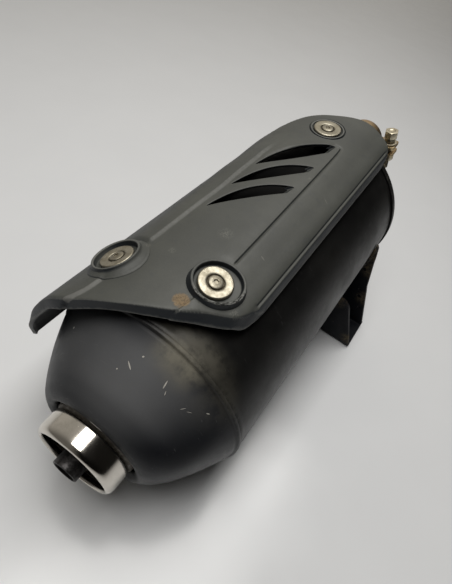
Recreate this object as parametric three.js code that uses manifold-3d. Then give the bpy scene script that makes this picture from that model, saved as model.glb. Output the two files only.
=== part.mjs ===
// Exhaust muffler of a small motorcycle or scooter, built as it comes apart on a bench.
// Every piece is modelled in the can's own frame: X along the can's axis, from the tail seam at x = 0
// towards the inlet, and Z up through the heat shield. The finished assembly is then laid on its
// bracket and its tail seam, which is how it rests on a table. Lengths are in millimetres.
import * as THREE from 'three';
import { mergeVertices } from 'three/addons/utils/BufferGeometryUtils.js';
import Module from 'manifold-3d';

const wasm = await Module();
wasm.setup();

// ---- driving dimensions ---------------------------------------------------------------------

const GAP = 0.3;                      // air left between pieces that touch
const CAN_RADIUS = 70;
const CAN_WALL = 1.5;
const BARREL_LENGTH = 238.6;
const SEAM_RADIUS = CAN_RADIUS + 0.6; // rolled bead that the tail rests on
const ROUND = 48;                     // facets round the can

const REST_TILT = THREE.MathUtils.degToRad(6.6);  // inlet end up, propped by the bracket
const REST_ROLL = THREE.MathUtils.degToRad(-1.8);

const TIP = { y: 2.7, z: -4.2 };      // outlet axis, slightly below the can's axis
const TIP_LIP_X = -65.6;
const TIP_BACK_X = -49.7;
const TIP_RADIUS = 28.8;
const OUTLET_PIPE = { radius: 8.75, wall: 1.3, from: -71.6, to: 50 };

const INLET = { y: -10.9, z: 49 };    // inlet pipe axis, high in the front cap
const INLET_PIPE = { radius: 14, wall: 1.6, from: 236, to: 283 };

const SHIELD_THICKNESS = 2.5;
const FLANGE_DROP = 5.8;              // depth of the turned-down edge of the shield

const BRACKET = { near: 180, far: 213.5, sheet: 3, right: -94.5, left: 48 };
const BRACKET_HOLE = { radius: 4.5, x: 207.4, ys: [-55, 19] };  // on the table, from the seam's foot

const CLAMP = { x: 273.5, width: 15, inner: INLET_PIPE.radius + GAP, wall: 1.4, ear: 31, bolt: 24.6 };
const CLAMP_TURN = THREE.MathUtils.degToRad(-11.2);

// Fastener stations of the shield: x along the can, angle round it from the top, height of the
// seat under the washer above the can's axis, height of the cup's rim, and radii of rim and foot.
const STATIONS = [
  { name: 'rear_left', x: 21, angle: 29.6, seat: 82.5, rim: 86.3, cup: 15, foot: 20 },
  { name: 'rear_right', x: 36, angle: -11.3, seat: 82.2, rim: 85.8, cup: 14.8, foot: 16 },
  { name: 'front', x: 215.6, angle: 3.2, seat: 79.8, rim: 81.4, cup: 13.3, foot: 14 },
];

// ---- colours and finishes -------------------------------------------------------------------

const FINISH = {
  shield: { color: 0x3b3c3a, roughness: 0.6, metalness: 0 },
  can: { color: 0x262629, roughness: 0.45, metalness: 0.2 },
  bracket: { color: 0x2c2e30, roughness: 0.6, metalness: 0.2 },
  chrome: { color: 0xcfcbc4, roughness: 0.1, metalness: 1 },
  steel: { color: 0x6f6a63, roughness: 0.45, metalness: 0.9 },
  hardware: { color: 0xb3aa9a, roughness: 0.4, metalness: 0.9 },
  straw: { color: 0xb9a67d, roughness: 0.45, metalness: 0.8 },
  ceramic: { color: 0xb9b2a4, roughness: 0.9, metalness: 0 },
  graphite: { color: 0x3a3a3a, roughness: 0.8, metalness: 0.1 },
};

// ---- working with closed solids -------------------------------------------------------------

function signedVolume(at, faces) {
  const [a, b, c] = [new THREE.Vector3(), new THREE.Vector3(), new THREE.Vector3()];
  let volume = 0;
  for (let i = 0; i < faces.length; i += 3) {
    a.fromBufferAttribute(at, faces[i]);
    b.fromBufferAttribute(at, faces[i + 1]);
    c.fromBufferAttribute(at, faces[i + 2]);
    volume += a.dot(b.cross(c)) / 6;
  }
  return volume;
}

// One welded surface, without collapsed triangles, facing outwards.
function welded(geometry) {
  const bare = geometry.clone();
  bare.deleteAttribute('normal');
  bare.deleteAttribute('uv');
  const merged = mergeVertices(bare, 1e-4);
  const old = merged.index.array;
  const faces = [];
  for (let i = 0; i < old.length; i += 3) {
    const [a, b, c] = [old[i], old[i + 1], old[i + 2]];
    if (a !== b && b !== c && c !== a) faces.push(a, b, c);
  }
  if (signedVolume(merged.attributes.position, faces) < 0) faces.reverse();
  merged.setIndex(faces);
  return merged;
}

function toSolid(geometry) {
  const vertProperties = new Float32Array(geometry.attributes.position.array);
  const triVerts = new Uint32Array(geometry.index.array);
  return new wasm.Manifold(new wasm.Mesh({ numProp: 3, vertProperties, triVerts }));
}

function fromSolid(solid) {
  const mesh = solid.getMesh();
  const geometry = new THREE.BufferGeometry();
  geometry.setAttribute('position', new THREE.BufferAttribute(mesh.vertProperties, 3));
  geometry.setIndex(new THREE.BufferAttribute(mesh.triVerts, 1));
  return geometry;
}

function cut(base, ...tools) {
  return fromSolid(tools.reduce((solid, tool) => solid.subtract(toSolid(tool)), toSolid(base)));
}

function join(base, ...others) {
  return fromSolid(others.reduce((solid, other) => solid.add(toSolid(other)), toSolid(base)));
}

// Turns a closed outline of [x, radius] points about the X axis.
function revolve(outline, facets = ROUND) {
  const points = [...outline, outline[0]].map(([x, radius]) => new THREE.Vector2(radius, x));
  const turned = new THREE.LatheGeometry(points, facets);
  turned.rotateZ(-Math.PI / 2);
  return welded(turned);
}

// The same, about the Z axis, from [radius, z] points.
function revolveUp(outline, facets = 20) {
  const points = [...outline, outline[0]].map(([radius, z]) => new THREE.Vector2(radius, z));
  const turned = new THREE.LatheGeometry(points, facets);
  turned.rotateX(Math.PI / 2);
  return welded(turned);
}

function tube(outer, inner, from, to, facets) {
  return revolve([[from, inner], [from, outer], [to, outer], [to, inner]], facets);
}

function rod(radius, from, to, facets) {
  return revolve([[from, 0], [from, radius], [to, radius], [to, 0]], facets);
}

function post(radius, low, high, facets) {
  return revolveUp([[0, low], [radius, low], [radius, high], [0, high]], facets);
}

function box(x0, x1, y0, y1, z0, z1) {
  const block = new THREE.BoxGeometry(x1 - x0, y1 - y0, z1 - z0);
  block.translate((x0 + x1) / 2, (y0 + y1) / 2, (z0 + z1) / 2);
  return welded(block);
}

// A flat plate square to the X axis, from an outline in (y, z).
function plateAcross(outline, from, thickness) {
  const plate = new THREE.ExtrudeGeometry(outline, {
    depth: thickness, bevelEnabled: false, curveSegments: 10,
  });
  const [x, y, z] = [new THREE.Vector3(1, 0, 0), new THREE.Vector3(0, 1, 0), new THREE.Vector3(0, 0, 1)];
  plate.applyMatrix4(new THREE.Matrix4().makeBasis(y, z, x));
  plate.translate(from, 0, 0);
  return welded(plate);
}

function hexagon(acrossFlats, low, high) {
  return revolveUp([[0, low], [acrossFlats / Math.sqrt(3), low],
    [acrossFlats / Math.sqrt(3), high], [0, high]], 6);
}

function moved(geometry, x, y, z) {
  return geometry.clone().translate(x, y, z);
}

// A smooth curve through [t, value] knots.
function through(knots, t) {
  if (t <= knots[0][0]) return knots[0][1];
  const last = knots.length - 1;
  if (t >= knots[last][0]) return knots[last][1];
  const k = knots.findIndex(([at]) => at > t) - 1;
  const slope = (i) => {
    const [low, high] = [Math.max(i - 1, 0), Math.min(i + 1, last)];
    return (knots[high][1] - knots[low][1]) / (knots[high][0] - knots[low][0]);
  };
  const [t0, v0] = knots[k];
  const [t1, v1] = knots[k + 1];
  const span = t1 - t0;
  const s = (t - t0) / span;
  const hermite = (2 * s ** 3 - 3 * s ** 2 + 1) * v0 + (3 * s ** 2 - 2 * s ** 3) * v1;
  return hermite + span * ((s ** 3 - 2 * s ** 2 + s) * slope(k) + (s ** 3 - s ** 2) * slope(k + 1));
}

// ---- placing pieces -------------------------------------------------------------------------

const assembly = new THREE.Group();

function add(parent, name, geometry, finish) {
  const mesh = new THREE.Mesh(geometry, new THREE.MeshStandardMaterial(FINISH[finish]));
  mesh.name = name;
  parent.add(mesh);
  return mesh;
}

function groupAt(parent, x, y, z, turn) {
  const group = new THREE.Group();
  group.position.set(x, y, z);
  group.rotation.x = turn;
  parent.add(group);
  return group;
}

// ---- the can --------------------------------------------------------------------------------

function barrelShell() {
  return tube(CAN_RADIUS, CAN_RADIUS - CAN_WALL, GAP, BARREL_LENGTH, ROUND);
}

// Bell-shaped tail, with a bead at the seam and a lip turned in round the outlet.
function tailDome() {
  const outside = [[0, SEAM_RADIUS], [-2.4, SEAM_RADIUS], [-3.4, 69], [-16, 62.8], [-32, 53.4],
    [-42, 45.9], [-47.4, 40.4], [-49.2, 36.8]];
  const lip = [[-48.6, 33.4], [-45.8, 31], [-44.4, 32.2], [-46.2, 34.2]];
  const inside = [[-46.6, 37], [-41, 43.6], [-31.4, 51.4], [-15, 61.2], [0, 68.5]];
  const shell = revolve([...outside, ...lip, ...inside]);
  return cut(shell, moved(rod(30.1, -60, -40, 40), 0, TIP.y, TIP.z));
}

// Dished plate with a rim rolled over the end of the barrel.
function frontCap() {
  const end = BARREL_LENGTH;
  const shell = revolve([[end - 1.2, CAN_RADIUS + GAP], [end - 1.2, CAN_RADIUS + 1.2],
    [end + 3.6, CAN_RADIUS + 1.2], [end + 5.4, CAN_RADIUS - 1], [end + 4.4, CAN_RADIUS - 4],
    [end + 8, 50], [end + 10, 0], [end + 8.5, 0], [end + 6.4, 49],
    [end + GAP, CAN_RADIUS - 3.5], [end + GAP, CAN_RADIUS + GAP]]);
  return cut(shell, moved(rod(INLET_PIPE.radius + GAP, end - 5, end + 20, 32), 0, INLET.y, INLET.z));
}

// ---- inside the can -------------------------------------------------------------------------

const CATALYST = { radius: 17, wall: 1.2, from: 152, to: 235.5 };
const SHORT_TUBE = { radius: 11, y: -32, z: -22, from: 146, to: 186 };
const LONG_TUBE = { radius: 11, y: 27, z: -26, from: 56, to: 200 };
const TUBE_WALL = 1.2;
const BAFFLE_XS = { rear: 80, front: 160 };

function baffle(x, passing) {
  const disc = new THREE.Shape();
  disc.absarc(0, 0, CAN_RADIUS - CAN_WALL - GAP, 0, 2 * Math.PI);
  for (const { y, z, radius } of passing) {
    const hole = new THREE.Path();
    hole.absarc(y, z, radius + GAP, 0, 2 * Math.PI, true);
    disc.holes.push(hole);
  }
  return plateAcross(disc, x, CAN_WALL);
}

// Honeycomb brick, cut through by square channels.
function catalystCore() {
  const pitch = 6.4;
  const opening = 4.6;
  const reach = CATALYST.radius - CATALYST.wall - GAP;
  const brick = rod(reach, CATALYST.from + 12, CATALYST.to - 8, 32);
  const channels = [];
  for (let row = -2; row <= 2; row += 1) {
    for (let column = -2; column <= 2; column += 1) {
      const [y, z] = [row * pitch, column * pitch];
      const corner = Math.hypot(Math.abs(y) + opening / 2, Math.abs(z) + opening / 2);
      if (corner < reach - 0.8) {
        channels.push(box(CATALYST.from, CATALYST.to, y - opening / 2, y + opening / 2,
          z - opening / 2, z + opening / 2));
      }
    }
  }
  return cut(brick, ...channels);
}

function transferTube({ radius, from, to }) {
  return tube(radius, radius - TUBE_WALL, from, to, 24);
}

// ---- outlet end -----------------------------------------------------------------------------

// Collar welded in the tail, with a spigot that the bright tip is pressed on.
function outletNeck() {
  return revolve([[-30, 27.9], [-30, 29.4], [-46.6, 29.4], [TIP_BACK_X + GAP, 27.4],
    [TIP_BACK_X + GAP, 25.6], [-57, 25.6], [-57, 24.2], [-48.2, 24.2], [-46.4, 27.9]], 32);
}

function outletEndPlate() {
  const hold = OUTLET_PIPE.radius + GAP;
  return revolve([[-38, hold], [-38, 27.6], [-36.4, 27.6], [-36.4, hold + 1.6],
    [-31, hold + 1.6], [-31, hold]], 32);
}

// Barrel-shaped trim ring, whose front edge curls inwards.
function chromeTip() {
  return revolve([[TIP_BACK_X, 26], [TIP_BACK_X, 27.2], [-51.6, 28.3], [-55, TIP_RADIUS],
    [-60, TIP_RADIUS], [-63.2, 28], [-65, 26.7], [TIP_LIP_X, 25.5], [-65, 24.6], [-63.4, 24.4],
    [-62.4, 25.2], [-61.4, 26.6], [-56, 27.3], [-52, 26.9]], 36);
}

// ---- heat shield ----------------------------------------------------------------------------

const SHIELD_ANGLES = { right: -34.8, crease: -30.5 };

// How far the skin stands from the can's axis, by angle from the top. Its left side is nearly
// flat, and draws in towards the inlet.
function shieldRadius(x, angle) {
  const side = Math.max(81.4 - 0.0415 * x, 74.8);
  const shoulder = Math.min(side / Math.cos(THREE.MathUtils.degToRad(24)) - 1, 82);
  const flank = side / Math.cos(THREE.MathUtils.degToRad(12)) - 0.4;
  return through([[SHIELD_ANGLES.right, 82 - FLANGE_DROP], [SHIELD_ANGLES.crease, 82], [-20, 82.1],
    [-11, 82], [5, 81.2], [20, 82.3], [32, shoulder], [44, flank], [56, side], [86, side - 1]], angle);
}

// x of the shield's borders by angle: the free edge and the fold of the rear flange, and the
// fold of the nose flange, which runs on as the lower edge on the left.
const REAR_EDGE = [[-34.8, 44], [-33, 32.5], [-29, 25], [-17.8, 13.4], [-4, 2.2], [10.4, -6.9],
  [26.3, -16.2], [45, -21.5], [72, -24.5], [86, -22]];
const REAR_FOLD = [[-34.8, 50], [-30.5, 42], [-27, 31.5], [-17.3, 20], [-8, 9.2], [4, -0.6],
  [17.2, -10.3], [36, -17.2], [60, -21], [86, -19]];
const NOSE_FOLD = [[-34.8, 229], [-30.5, 240], [-24, 246.5], [-13, 249.2], [-5, 246.5], [5, 239],
  [13, 231.5], [20, 222], [26, 210], [32, 192], [40, 168], [52, 134], [68, 80], [86, 8]];

const SHIELD_COLUMNS = [-34.8, -30.5, -25, -18, -11, -4, 3, 10, 17, 24, 31, 38, 45, 52, 60, 69, 78, 86];
const SHIELD_ROWS = 12;

function onCan(x, angle, radius) {
  const turn = THREE.MathUtils.degToRad(angle);
  return new THREE.Vector3(x, radius * Math.sin(turn), radius * Math.cos(turn));
}

// Row 0 is the free edge of the rear flange, and the last row that of the nose flange.
function shieldPoint(row, angle) {
  const last = SHIELD_ROWS + 2;
  const [rear, nose] = [through(REAR_FOLD, angle), through(NOSE_FOLD, angle)];
  const drop = FLANGE_DROP * flangeShare(angle);
  if (row === 0) return onCan(through(REAR_EDGE, angle), angle, shieldRadius(rear, angle) - drop);
  if (row === last) {
    const edge = Math.max(shieldRadius(nose, angle) - drop, CAN_RADIUS + SHIELD_THICKNESS + 2);
    return onCan(nose + 0.8, angle, edge);
  }
  const x = rear + (nose - rear) * (row - 1) / SHIELD_ROWS;
  return onCan(x, angle, shieldRadius(x, angle));
}

// The flanges fade out into the plain lower edge on the left, and into the lip on the right.
function flangeShare(angle) {
  const onLeft = THREE.MathUtils.smoothstep(angle, 50, 80);
  const onRight = 1 - THREE.MathUtils.smoothstep(angle, SHIELD_ANGLES.right, SHIELD_ANGLES.crease);
  return 1 - 0.7 * Math.max(onLeft, onRight);
}

// A closed skin of even thickness under a grid of outer points.
function skin(grid, thickness) {
  const [rows, columns] = [grid.length, grid[0].length];
  const under = grid.map((line, i) => line.map((point, j) => {
    const [before, after] = [grid[Math.max(i - 1, 0)][j], grid[Math.min(i + 1, rows - 1)][j]];
    const [right, left] = [line[Math.max(j - 1, 0)], line[Math.min(j + 1, columns - 1)]];
    const normal = after.clone().sub(before).cross(left.clone().sub(right)).normalize();
    return point.clone().addScaledVector(normal, -thickness);
  }));
  const positions = [...grid.flat(), ...under.flat()].flatMap((point) => point.toArray());
  const faces = [];
  const quad = (a, b, c, d) => faces.push(a, b, c, a, c, d);
  const top = (i, j) => i * columns + j;
  const low = (i, j) => rows * columns + top(i, j);
  for (let i = 0; i < rows - 1; i += 1) {
    for (let j = 0; j < columns - 1; j += 1) {
      quad(top(i, j), top(i + 1, j), top(i + 1, j + 1), top(i, j + 1));
      quad(low(i, j), low(i, j + 1), low(i + 1, j + 1), low(i + 1, j));
    }
  }
  for (let i = 0; i < rows - 1; i += 1) {
    quad(top(i, 0), low(i, 0), low(i + 1, 0), top(i + 1, 0));
    quad(top(i, columns - 1), top(i + 1, columns - 1), low(i + 1, columns - 1), low(i, columns - 1));
  }
  for (let j = 0; j < columns - 1; j += 1) {
    quad(top(0, j), top(0, j + 1), low(0, j + 1), low(0, j));
    quad(top(rows - 1, j), low(rows - 1, j), low(rows - 1, j + 1), top(rows - 1, j + 1));
  }
  const geometry = new THREE.BufferGeometry();
  geometry.setAttribute('position', new THREE.Float32BufferAttribute(positions, 3));
  geometry.setIndex(faces);
  return welded(geometry);
}

// Claw-shaped louvres, seen from above: a point at the left, a bowed far edge, a blunt right end
// and a nearly straight near edge. The bow and the near edge are each given by one handle.
const LOUVRES = [
  { point: [85.2, 25.8], bow: [125, 18], tip: [137, -10], corner: [128, -8.6], near: [110, 7.4] },
  { point: [113.6, 25.8], bow: [153.5, 18.3], tip: [165.3, -10.2], corner: [157.6, -9], near: [137.3, 6] },
  { point: [142.6, 25], bow: [184, 18], tip: [199, -10.8], corner: [188.2, -9.6], near: [164.8, 4.8] },
];

function louvreCutter({ point, bow, tip, corner, near }) {
  const claw = new THREE.Shape();
  claw.moveTo(...point);
  claw.quadraticCurveTo(...bow, ...tip);
  claw.lineTo(...corner);
  claw.quadraticCurveTo(...near, ...point);
  const cutter = new THREE.ExtrudeGeometry(claw, { depth: 40, bevelEnabled: false, curveSegments: 7 });
  cutter.translate(0, 0, 60);
  return welded(cutter);
}

// Cup moulded into the shield at a fastener: floor, rim and screw hole.
function shieldCup({ seat, rim, cup, foot }) {
  return revolveUp([[5.2, seat - 3], [cup - 1, seat - 3], [foot, seat - 1.5], [cup + 0.5, rim - 0.7],
    [cup - 0.4, rim], [cup - 1.6, rim], [cup - 2.4, seat], [5.2, seat]]);
}

function atStation(geometry, { x, angle }) {
  return geometry.clone().rotateX(-THREE.MathUtils.degToRad(angle)).translate(x, 0, 0);
}

function heatShield() {
  const grid = [];
  for (let row = 0; row <= SHIELD_ROWS + 2; row += 1) {
    grid.push(SHIELD_COLUMNS.map((angle) => shieldPoint(row, angle)));
  }
  const wells = STATIONS.map((station) => atStation(post(station.cup - 1.6, 60, 100), station));
  const cups = STATIONS.map((station) => atStation(shieldCup(station), station));
  const louvres = LOUVRES.map(louvreCutter);
  return join(cut(skin(grid, SHIELD_THICKNESS), ...wells, ...louvres), ...cups);
}

// ---- fasteners of the shield ----------------------------------------------------------------

// Threaded boss welded on the can, its foot shaped to the barrel.
function standoff(seat) {
  const foot = CAN_RADIUS + GAP;
  const blank = revolveUp([[3.3, 60], [8, 60], [8, seat - 7.8], [7.2, seat - 7], [3.3, seat - 7]]);
  return cut(blank, rod(foot, -30, 30, 96));
}

function insulator(seat) {
  return revolveUp([[3.6, seat - 6.7], [10, seat - 6.7], [10, seat - 3.3], [4.9, seat - 3.3],
    [4.9, seat - GAP], [3.6, seat - GAP]]);
}

function shieldWasher(seat) {
  const low = seat + GAP;
  return revolveUp([[3.6, low], [10.6, low], [10.6, low + 1.4], [10, low + 2], [5.6, low + 2],
    [5.2, low + 1], [3.6, low + 1]], 24);
}

// Button head with a hexagon socket, sunk in the washer, on a shank that ends in the standoff.
function shieldScrew(seat) {
  const low = seat + 1 + 2 * GAP;
  const blank = revolveUp([[0, CAN_RADIUS + 1], [3, CAN_RADIUS + 1], [3, low], [4.6, low], [4.6, low + 1],
    [3.2, low + 2], [0, low + 2]], 20);
  return cut(blank, hexagon(3, low + 0.6, low + 4));
}

// ---- mounting bracket -----------------------------------------------------------------------

// From the can's frame to the table's.
const REST = new THREE.Matrix4().makeTranslation(0, 0, SEAM_RADIUS)
  .multiply(new THREE.Matrix4().makeRotationY(-REST_TILT))
  .multiply(new THREE.Matrix4().makeRotationX(REST_ROLL));

// Two walls that hug the can, joined by a flat pad that lies on the table.
function mountingBracket() {
  const { near, far, sheet, right, left } = BRACKET;
  const nearWall = new THREE.Shape();
  nearWall.moveTo(right, -120);
  nearWall.lineTo(right, -93);
  nearWall.lineTo(-78, -47);
  nearWall.quadraticCurveTo(-74, -38.5, -66, -38.5);
  nearWall.lineTo(left + 4, -38.5);
  nearWall.lineTo(left, -120);
  const farWall = new THREE.Shape();
  farWall.moveTo(right, -120);
  farWall.lineTo(right, -96);
  farWall.lineTo(-81, -48);
  farWall.lineTo(-75, -13);
  farWall.lineTo(-72, 4);
  farWall.lineTo(-60, 4);
  farWall.lineTo(left + 4, -38.5);
  farWall.lineTo(left, -120);
  const onTable = REST.clone().invert();
  const level = Math.cos(REST_TILT);
  const pad = box(near * level, (far + sheet) * level + 10, right, left, 0, sheet);
  pad.applyMatrix4(onTable);
  const table = box(-50, 400, -200, 200, -80, 0).applyMatrix4(onTable);
  const beyond = box(far + sheet, far + 60, -200, 200, -200, 50);
  const before = box(near - 60, near, -200, 200, -200, 50);
  const outline = join(plateAcross(nearWall, near, sheet), plateAcross(farWall, far, sheet), pad);
  const bores = BRACKET_HOLE.ys.map((y) => moved(post(BRACKET_HOLE.radius, -5, 10), BRACKET_HOLE.x, y, 0)
    .applyMatrix4(onTable));
  const can = rod(CAN_RADIUS + GAP, near - 10, far + 30, 2 * ROUND);
  return cut(outline, table, beyond, before, can, ...bores);
}

// ---- inlet clamp ----------------------------------------------------------------------------

function clampBand() {
  const { inner, wall, width, ear, bolt } = CLAMP;
  const half = width / 2;
  const slot = 2.1;
  const sheet = 2.2;
  const ring = tube(inner + wall, inner, -half, half, 40);
  const ears = [1, -1].map((side) => {
    const [low, high] = side > 0 ? [slot, slot + sheet] : [-slot - sheet, -slot];
    return box(-half, half, -ear, -inner - 0.4, low, high);
  });
  const opening = box(-half - 1, half + 1, -ear, -inner + 3, -slot, slot);
  const hole = moved(post(3.5, -10, 10, 16), 0, -bolt, 0);
  return cut(join(ring, ...ears), opening, hole, rod(inner, -half - 1, half + 1, 40));
}

function clampBolt() {
  const shank = revolveUp([[0, -18.4], [2.4, -18.4], [3, -17.6], [3, 10.2], [0, 10.2]], 16);
  return join(shank, hexagon(10, 10, 15.8));
}

function clampNut() {
  return cut(hexagon(10, -10, -4.6), post(3.3, -20, 0, 16));
}

function clampWasher() {
  return revolveUp([[3.4, 4.6], [6.4, 4.6], [6.4, 6], [3.4, 6]], 20);
}

function clampSpacer() {
  return revolveUp([[3.3, 6.3], [4.2, 6.3], [4.2, 9.7], [3.3, 9.7]], 20);
}

// ---- the assembly ---------------------------------------------------------------------------

add(assembly, 'barrel_shell', barrelShell(), 'can');
add(assembly, 'tail_dome', tailDome(), 'can');
add(assembly, 'front_cap', frontCap(), 'can');

const catalyst = { ...INLET, radius: CATALYST.radius };
add(assembly, 'rear_baffle', baffle(BAFFLE_XS.rear, [LONG_TUBE]), 'steel');
add(assembly, 'front_baffle', baffle(BAFFLE_XS.front, [SHORT_TUBE, LONG_TUBE, catalyst]), 'steel');

const shortTube = groupAt(assembly, 0, SHORT_TUBE.y, SHORT_TUBE.z, 0);
add(shortTube, 'short_transfer_tube', transferTube(SHORT_TUBE), 'steel');
const longTube = groupAt(assembly, 0, LONG_TUBE.y, LONG_TUBE.z, 0);
add(longTube, 'long_transfer_tube', transferTube(LONG_TUBE), 'steel');

const inlet = groupAt(assembly, 0, INLET.y, INLET.z, 0);
const inletBore = INLET_PIPE.radius - INLET_PIPE.wall;
add(inlet, 'inlet_pipe', tube(INLET_PIPE.radius, inletBore, INLET_PIPE.from, INLET_PIPE.to, 40), 'straw');
add(inlet, 'inlet_gasket', tube(inletBore - GAP, inletBore - 1.8, 262, INLET_PIPE.to - 0.6, 32), 'graphite');
add(inlet, 'catalyst_can',
  tube(CATALYST.radius, CATALYST.radius - CATALYST.wall, CATALYST.from, CATALYST.to, 32), 'steel');
add(inlet, 'catalyst_core', catalystCore(), 'ceramic');

const outlet = groupAt(assembly, 0, TIP.y, TIP.z, 0);
add(outlet, 'outlet_neck', outletNeck(), 'steel');
add(outlet, 'outlet_end_plate', outletEndPlate(), 'steel');
add(outlet, 'chrome_tip', chromeTip(), 'chrome');
add(outlet, 'outlet_pipe', tube(OUTLET_PIPE.radius, OUTLET_PIPE.radius - OUTLET_PIPE.wall,
  OUTLET_PIPE.from, OUTLET_PIPE.to, 32), 'steel');

add(assembly, 'heat_shield', heatShield(), 'shield');
for (const { name, x, angle, seat } of STATIONS) {
  const station = groupAt(assembly, x, 0, 0, -THREE.MathUtils.degToRad(angle));
  add(station, `standoff_${name}`, standoff(seat), 'steel');
  add(station, `insulator_${name}`, insulator(seat), 'ceramic');
  add(station, `shield_washer_${name}`, shieldWasher(seat), 'hardware');
  add(station, `shield_screw_${name}`, shieldScrew(seat), 'hardware');
}

add(assembly, 'mounting_bracket', mountingBracket(), 'bracket');

const clamp = groupAt(assembly, CLAMP.x, INLET.y, INLET.z, CLAMP_TURN);
add(clamp, 'clamp_band', clampBand(), 'straw');
const pinch = groupAt(clamp, 0, -CLAMP.bolt, 0, 0);
add(pinch, 'clamp_bolt', clampBolt(), 'hardware');
add(pinch, 'clamp_nut', clampNut(), 'hardware');
add(pinch, 'clamp_washer', clampWasher(), 'hardware');
add(pinch, 'clamp_spacer', clampSpacer(), 'hardware');

// Laid on the table, with the origin under the middle of the whole muffler.
assembly.applyMatrix4(REST);
const muffler = new THREE.Group();
muffler.add(assembly);
muffler.updateMatrixWorld(true);
const extent = new THREE.Box3().setFromObject(muffler, true);
const centre = extent.getCenter(new THREE.Vector3());
muffler.position.set(-centre.x, -centre.y, -extent.min.z);

export default muffler;
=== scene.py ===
"""Exhaust muffler of a small motorcycle, lying on its bracket on a pale table.

Every piece is built in millimetres in the can's own frame, X along the can from the tail seam
towards the inlet and Z up through the heat shield, and is then laid down as the CAD model lies.
"""
import math

import bmesh
import bpy
import numpy as np
from mathutils import Matrix, Vector, kdtree, noise
from mathutils.geometry import delaunay_2d_cdt


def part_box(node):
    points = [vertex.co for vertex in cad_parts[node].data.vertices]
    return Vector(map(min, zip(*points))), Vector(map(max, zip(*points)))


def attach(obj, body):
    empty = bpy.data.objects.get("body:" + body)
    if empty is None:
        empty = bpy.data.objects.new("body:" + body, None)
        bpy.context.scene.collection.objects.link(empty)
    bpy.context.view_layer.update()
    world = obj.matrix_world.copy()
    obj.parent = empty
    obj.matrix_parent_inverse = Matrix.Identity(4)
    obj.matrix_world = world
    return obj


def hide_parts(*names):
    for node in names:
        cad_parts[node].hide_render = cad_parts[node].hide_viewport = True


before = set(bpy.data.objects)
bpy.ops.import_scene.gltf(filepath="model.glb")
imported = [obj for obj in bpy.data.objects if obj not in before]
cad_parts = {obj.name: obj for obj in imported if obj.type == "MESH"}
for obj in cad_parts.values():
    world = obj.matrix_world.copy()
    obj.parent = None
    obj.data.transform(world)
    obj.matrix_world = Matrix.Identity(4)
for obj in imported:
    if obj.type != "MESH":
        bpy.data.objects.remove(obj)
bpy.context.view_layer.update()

MM = 0.001
REST_TILT = math.radians(6.6)
REST_ROLL = math.radians(-1.8)

# ---- sizes of the part, in its own frame, in millimetres -------------------------------------

CAN_RADIUS = 70
CAN_WALL = 1.5
BARREL_LENGTH = 238.6
SEAM_RADIUS = 70.6
GAP = 0.3
TINY = 1e-3                   # a radius smaller than this is on the axis
TIP_CENTRE = (2.7, -4.2)
OUTLET_PIPE_RADIUS, OUTLET_PIPE_WALL = 8.75, 1.3
OUTLET_PIPE_FROM, OUTLET_PIPE_TO = -71.6, 50
INLET_CENTRE = (-10.9, 49)
INLET_PIPE_RADIUS, INLET_PIPE_WALL = 14, 1.6
INLET_PIPE_FROM, INLET_PIPE_TO = 236, 283
SHIELD_THICKNESS = 2.5
FLANGE_DROP = 5.8
CLAMP_X, CLAMP_WIDTH, CLAMP_EAR, CLAMP_BOLT = 273.5, 15, 31, 24.6
CLAMP_TURN = math.radians(-11.2)
BRACKET_NEAR, BRACKET_FAR, BRACKET_SHEET = 180, 213.5, 3
BRACKET_RIGHT, BRACKET_LEFT = -94.5, 48
BRACKET_HOLE_X, BRACKET_HOLE_YS, BRACKET_HOLE_RADIUS = 207.4, (-55, 19), 4.5

# Fastener stations of the shield: x, angle from the top, height of the seat and of the cup's rim
# above the can's axis, radii of the rim and of the foot, how far the cup is off the screw along x
# and sideways, and the turn of the screw's socket.
STATIONS = {
    "rear_left": dict(x=21, angle=29.6, seat=82.5, rim=86.2, cup=14.9, foot=19.2, off=(0, 0), spin=8),
    "rear_right": dict(x=36, angle=-11.3, seat=82.2, rim=85.7, cup=14.7, foot=16.2, off=(0.8, -1.1), spin=17),
    "front": dict(x=215.6, angle=3.2, seat=79.8, rim=81.5, cup=13.1, foot=14.2, off=(0, 0), spin=20),
}


def middle(node):
    low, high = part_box(node)
    return (low + high) / 2


TURN = Matrix.Rotation(-REST_TILT, 4, "Y") @ Matrix.Rotation(REST_ROLL, 4, "X")
PIPE_MIDDLE = Vector(((INLET_PIPE_FROM + INLET_PIPE_TO) / 2, *INLET_CENTRE)) * MM
TO_TABLE = Matrix.Translation(middle("inlet_pipe") - TURN @ PIPE_MIDDLE) @ TURN @ Matrix.Scale(MM, 4)


def on_table(x, y, z):
    """The place on the table, in metres, of a point of the can's frame."""
    return TO_TABLE @ Vector((x, y, z))


def on_can(x, angle, radius):
    """The place on the table of a point at an angle from the top of the can."""
    turn = math.radians(angle)
    return on_table(x, radius * math.sin(turn), radius * math.cos(turn))


# ---- camera ----------------------------------------------------------------------------------

def make_camera():
    """Behind the muffler and above it, a little to its right."""
    camera = bpy.data.objects.new("camera", bpy.data.cameras.new("camera"))
    camera.data.lens = 29.24
    camera.data.sensor_width = 36
    forward = Vector((0.64551, 0.23421, -0.72696))
    right = Vector((0.53942, -0.81363, 0.21685))
    axes = Matrix((right, right.cross(forward), -forward)).transposed()
    camera.matrix_world = Matrix.Translation((-0.24247, -0.0731, 0.34178)) @ axes.to_4x4()
    bpy.context.scene.collection.objects.link(camera)
    bpy.context.scene.camera = camera


make_camera()

# ---- curves and closed meshes ----------------------------------------------------------------

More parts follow.
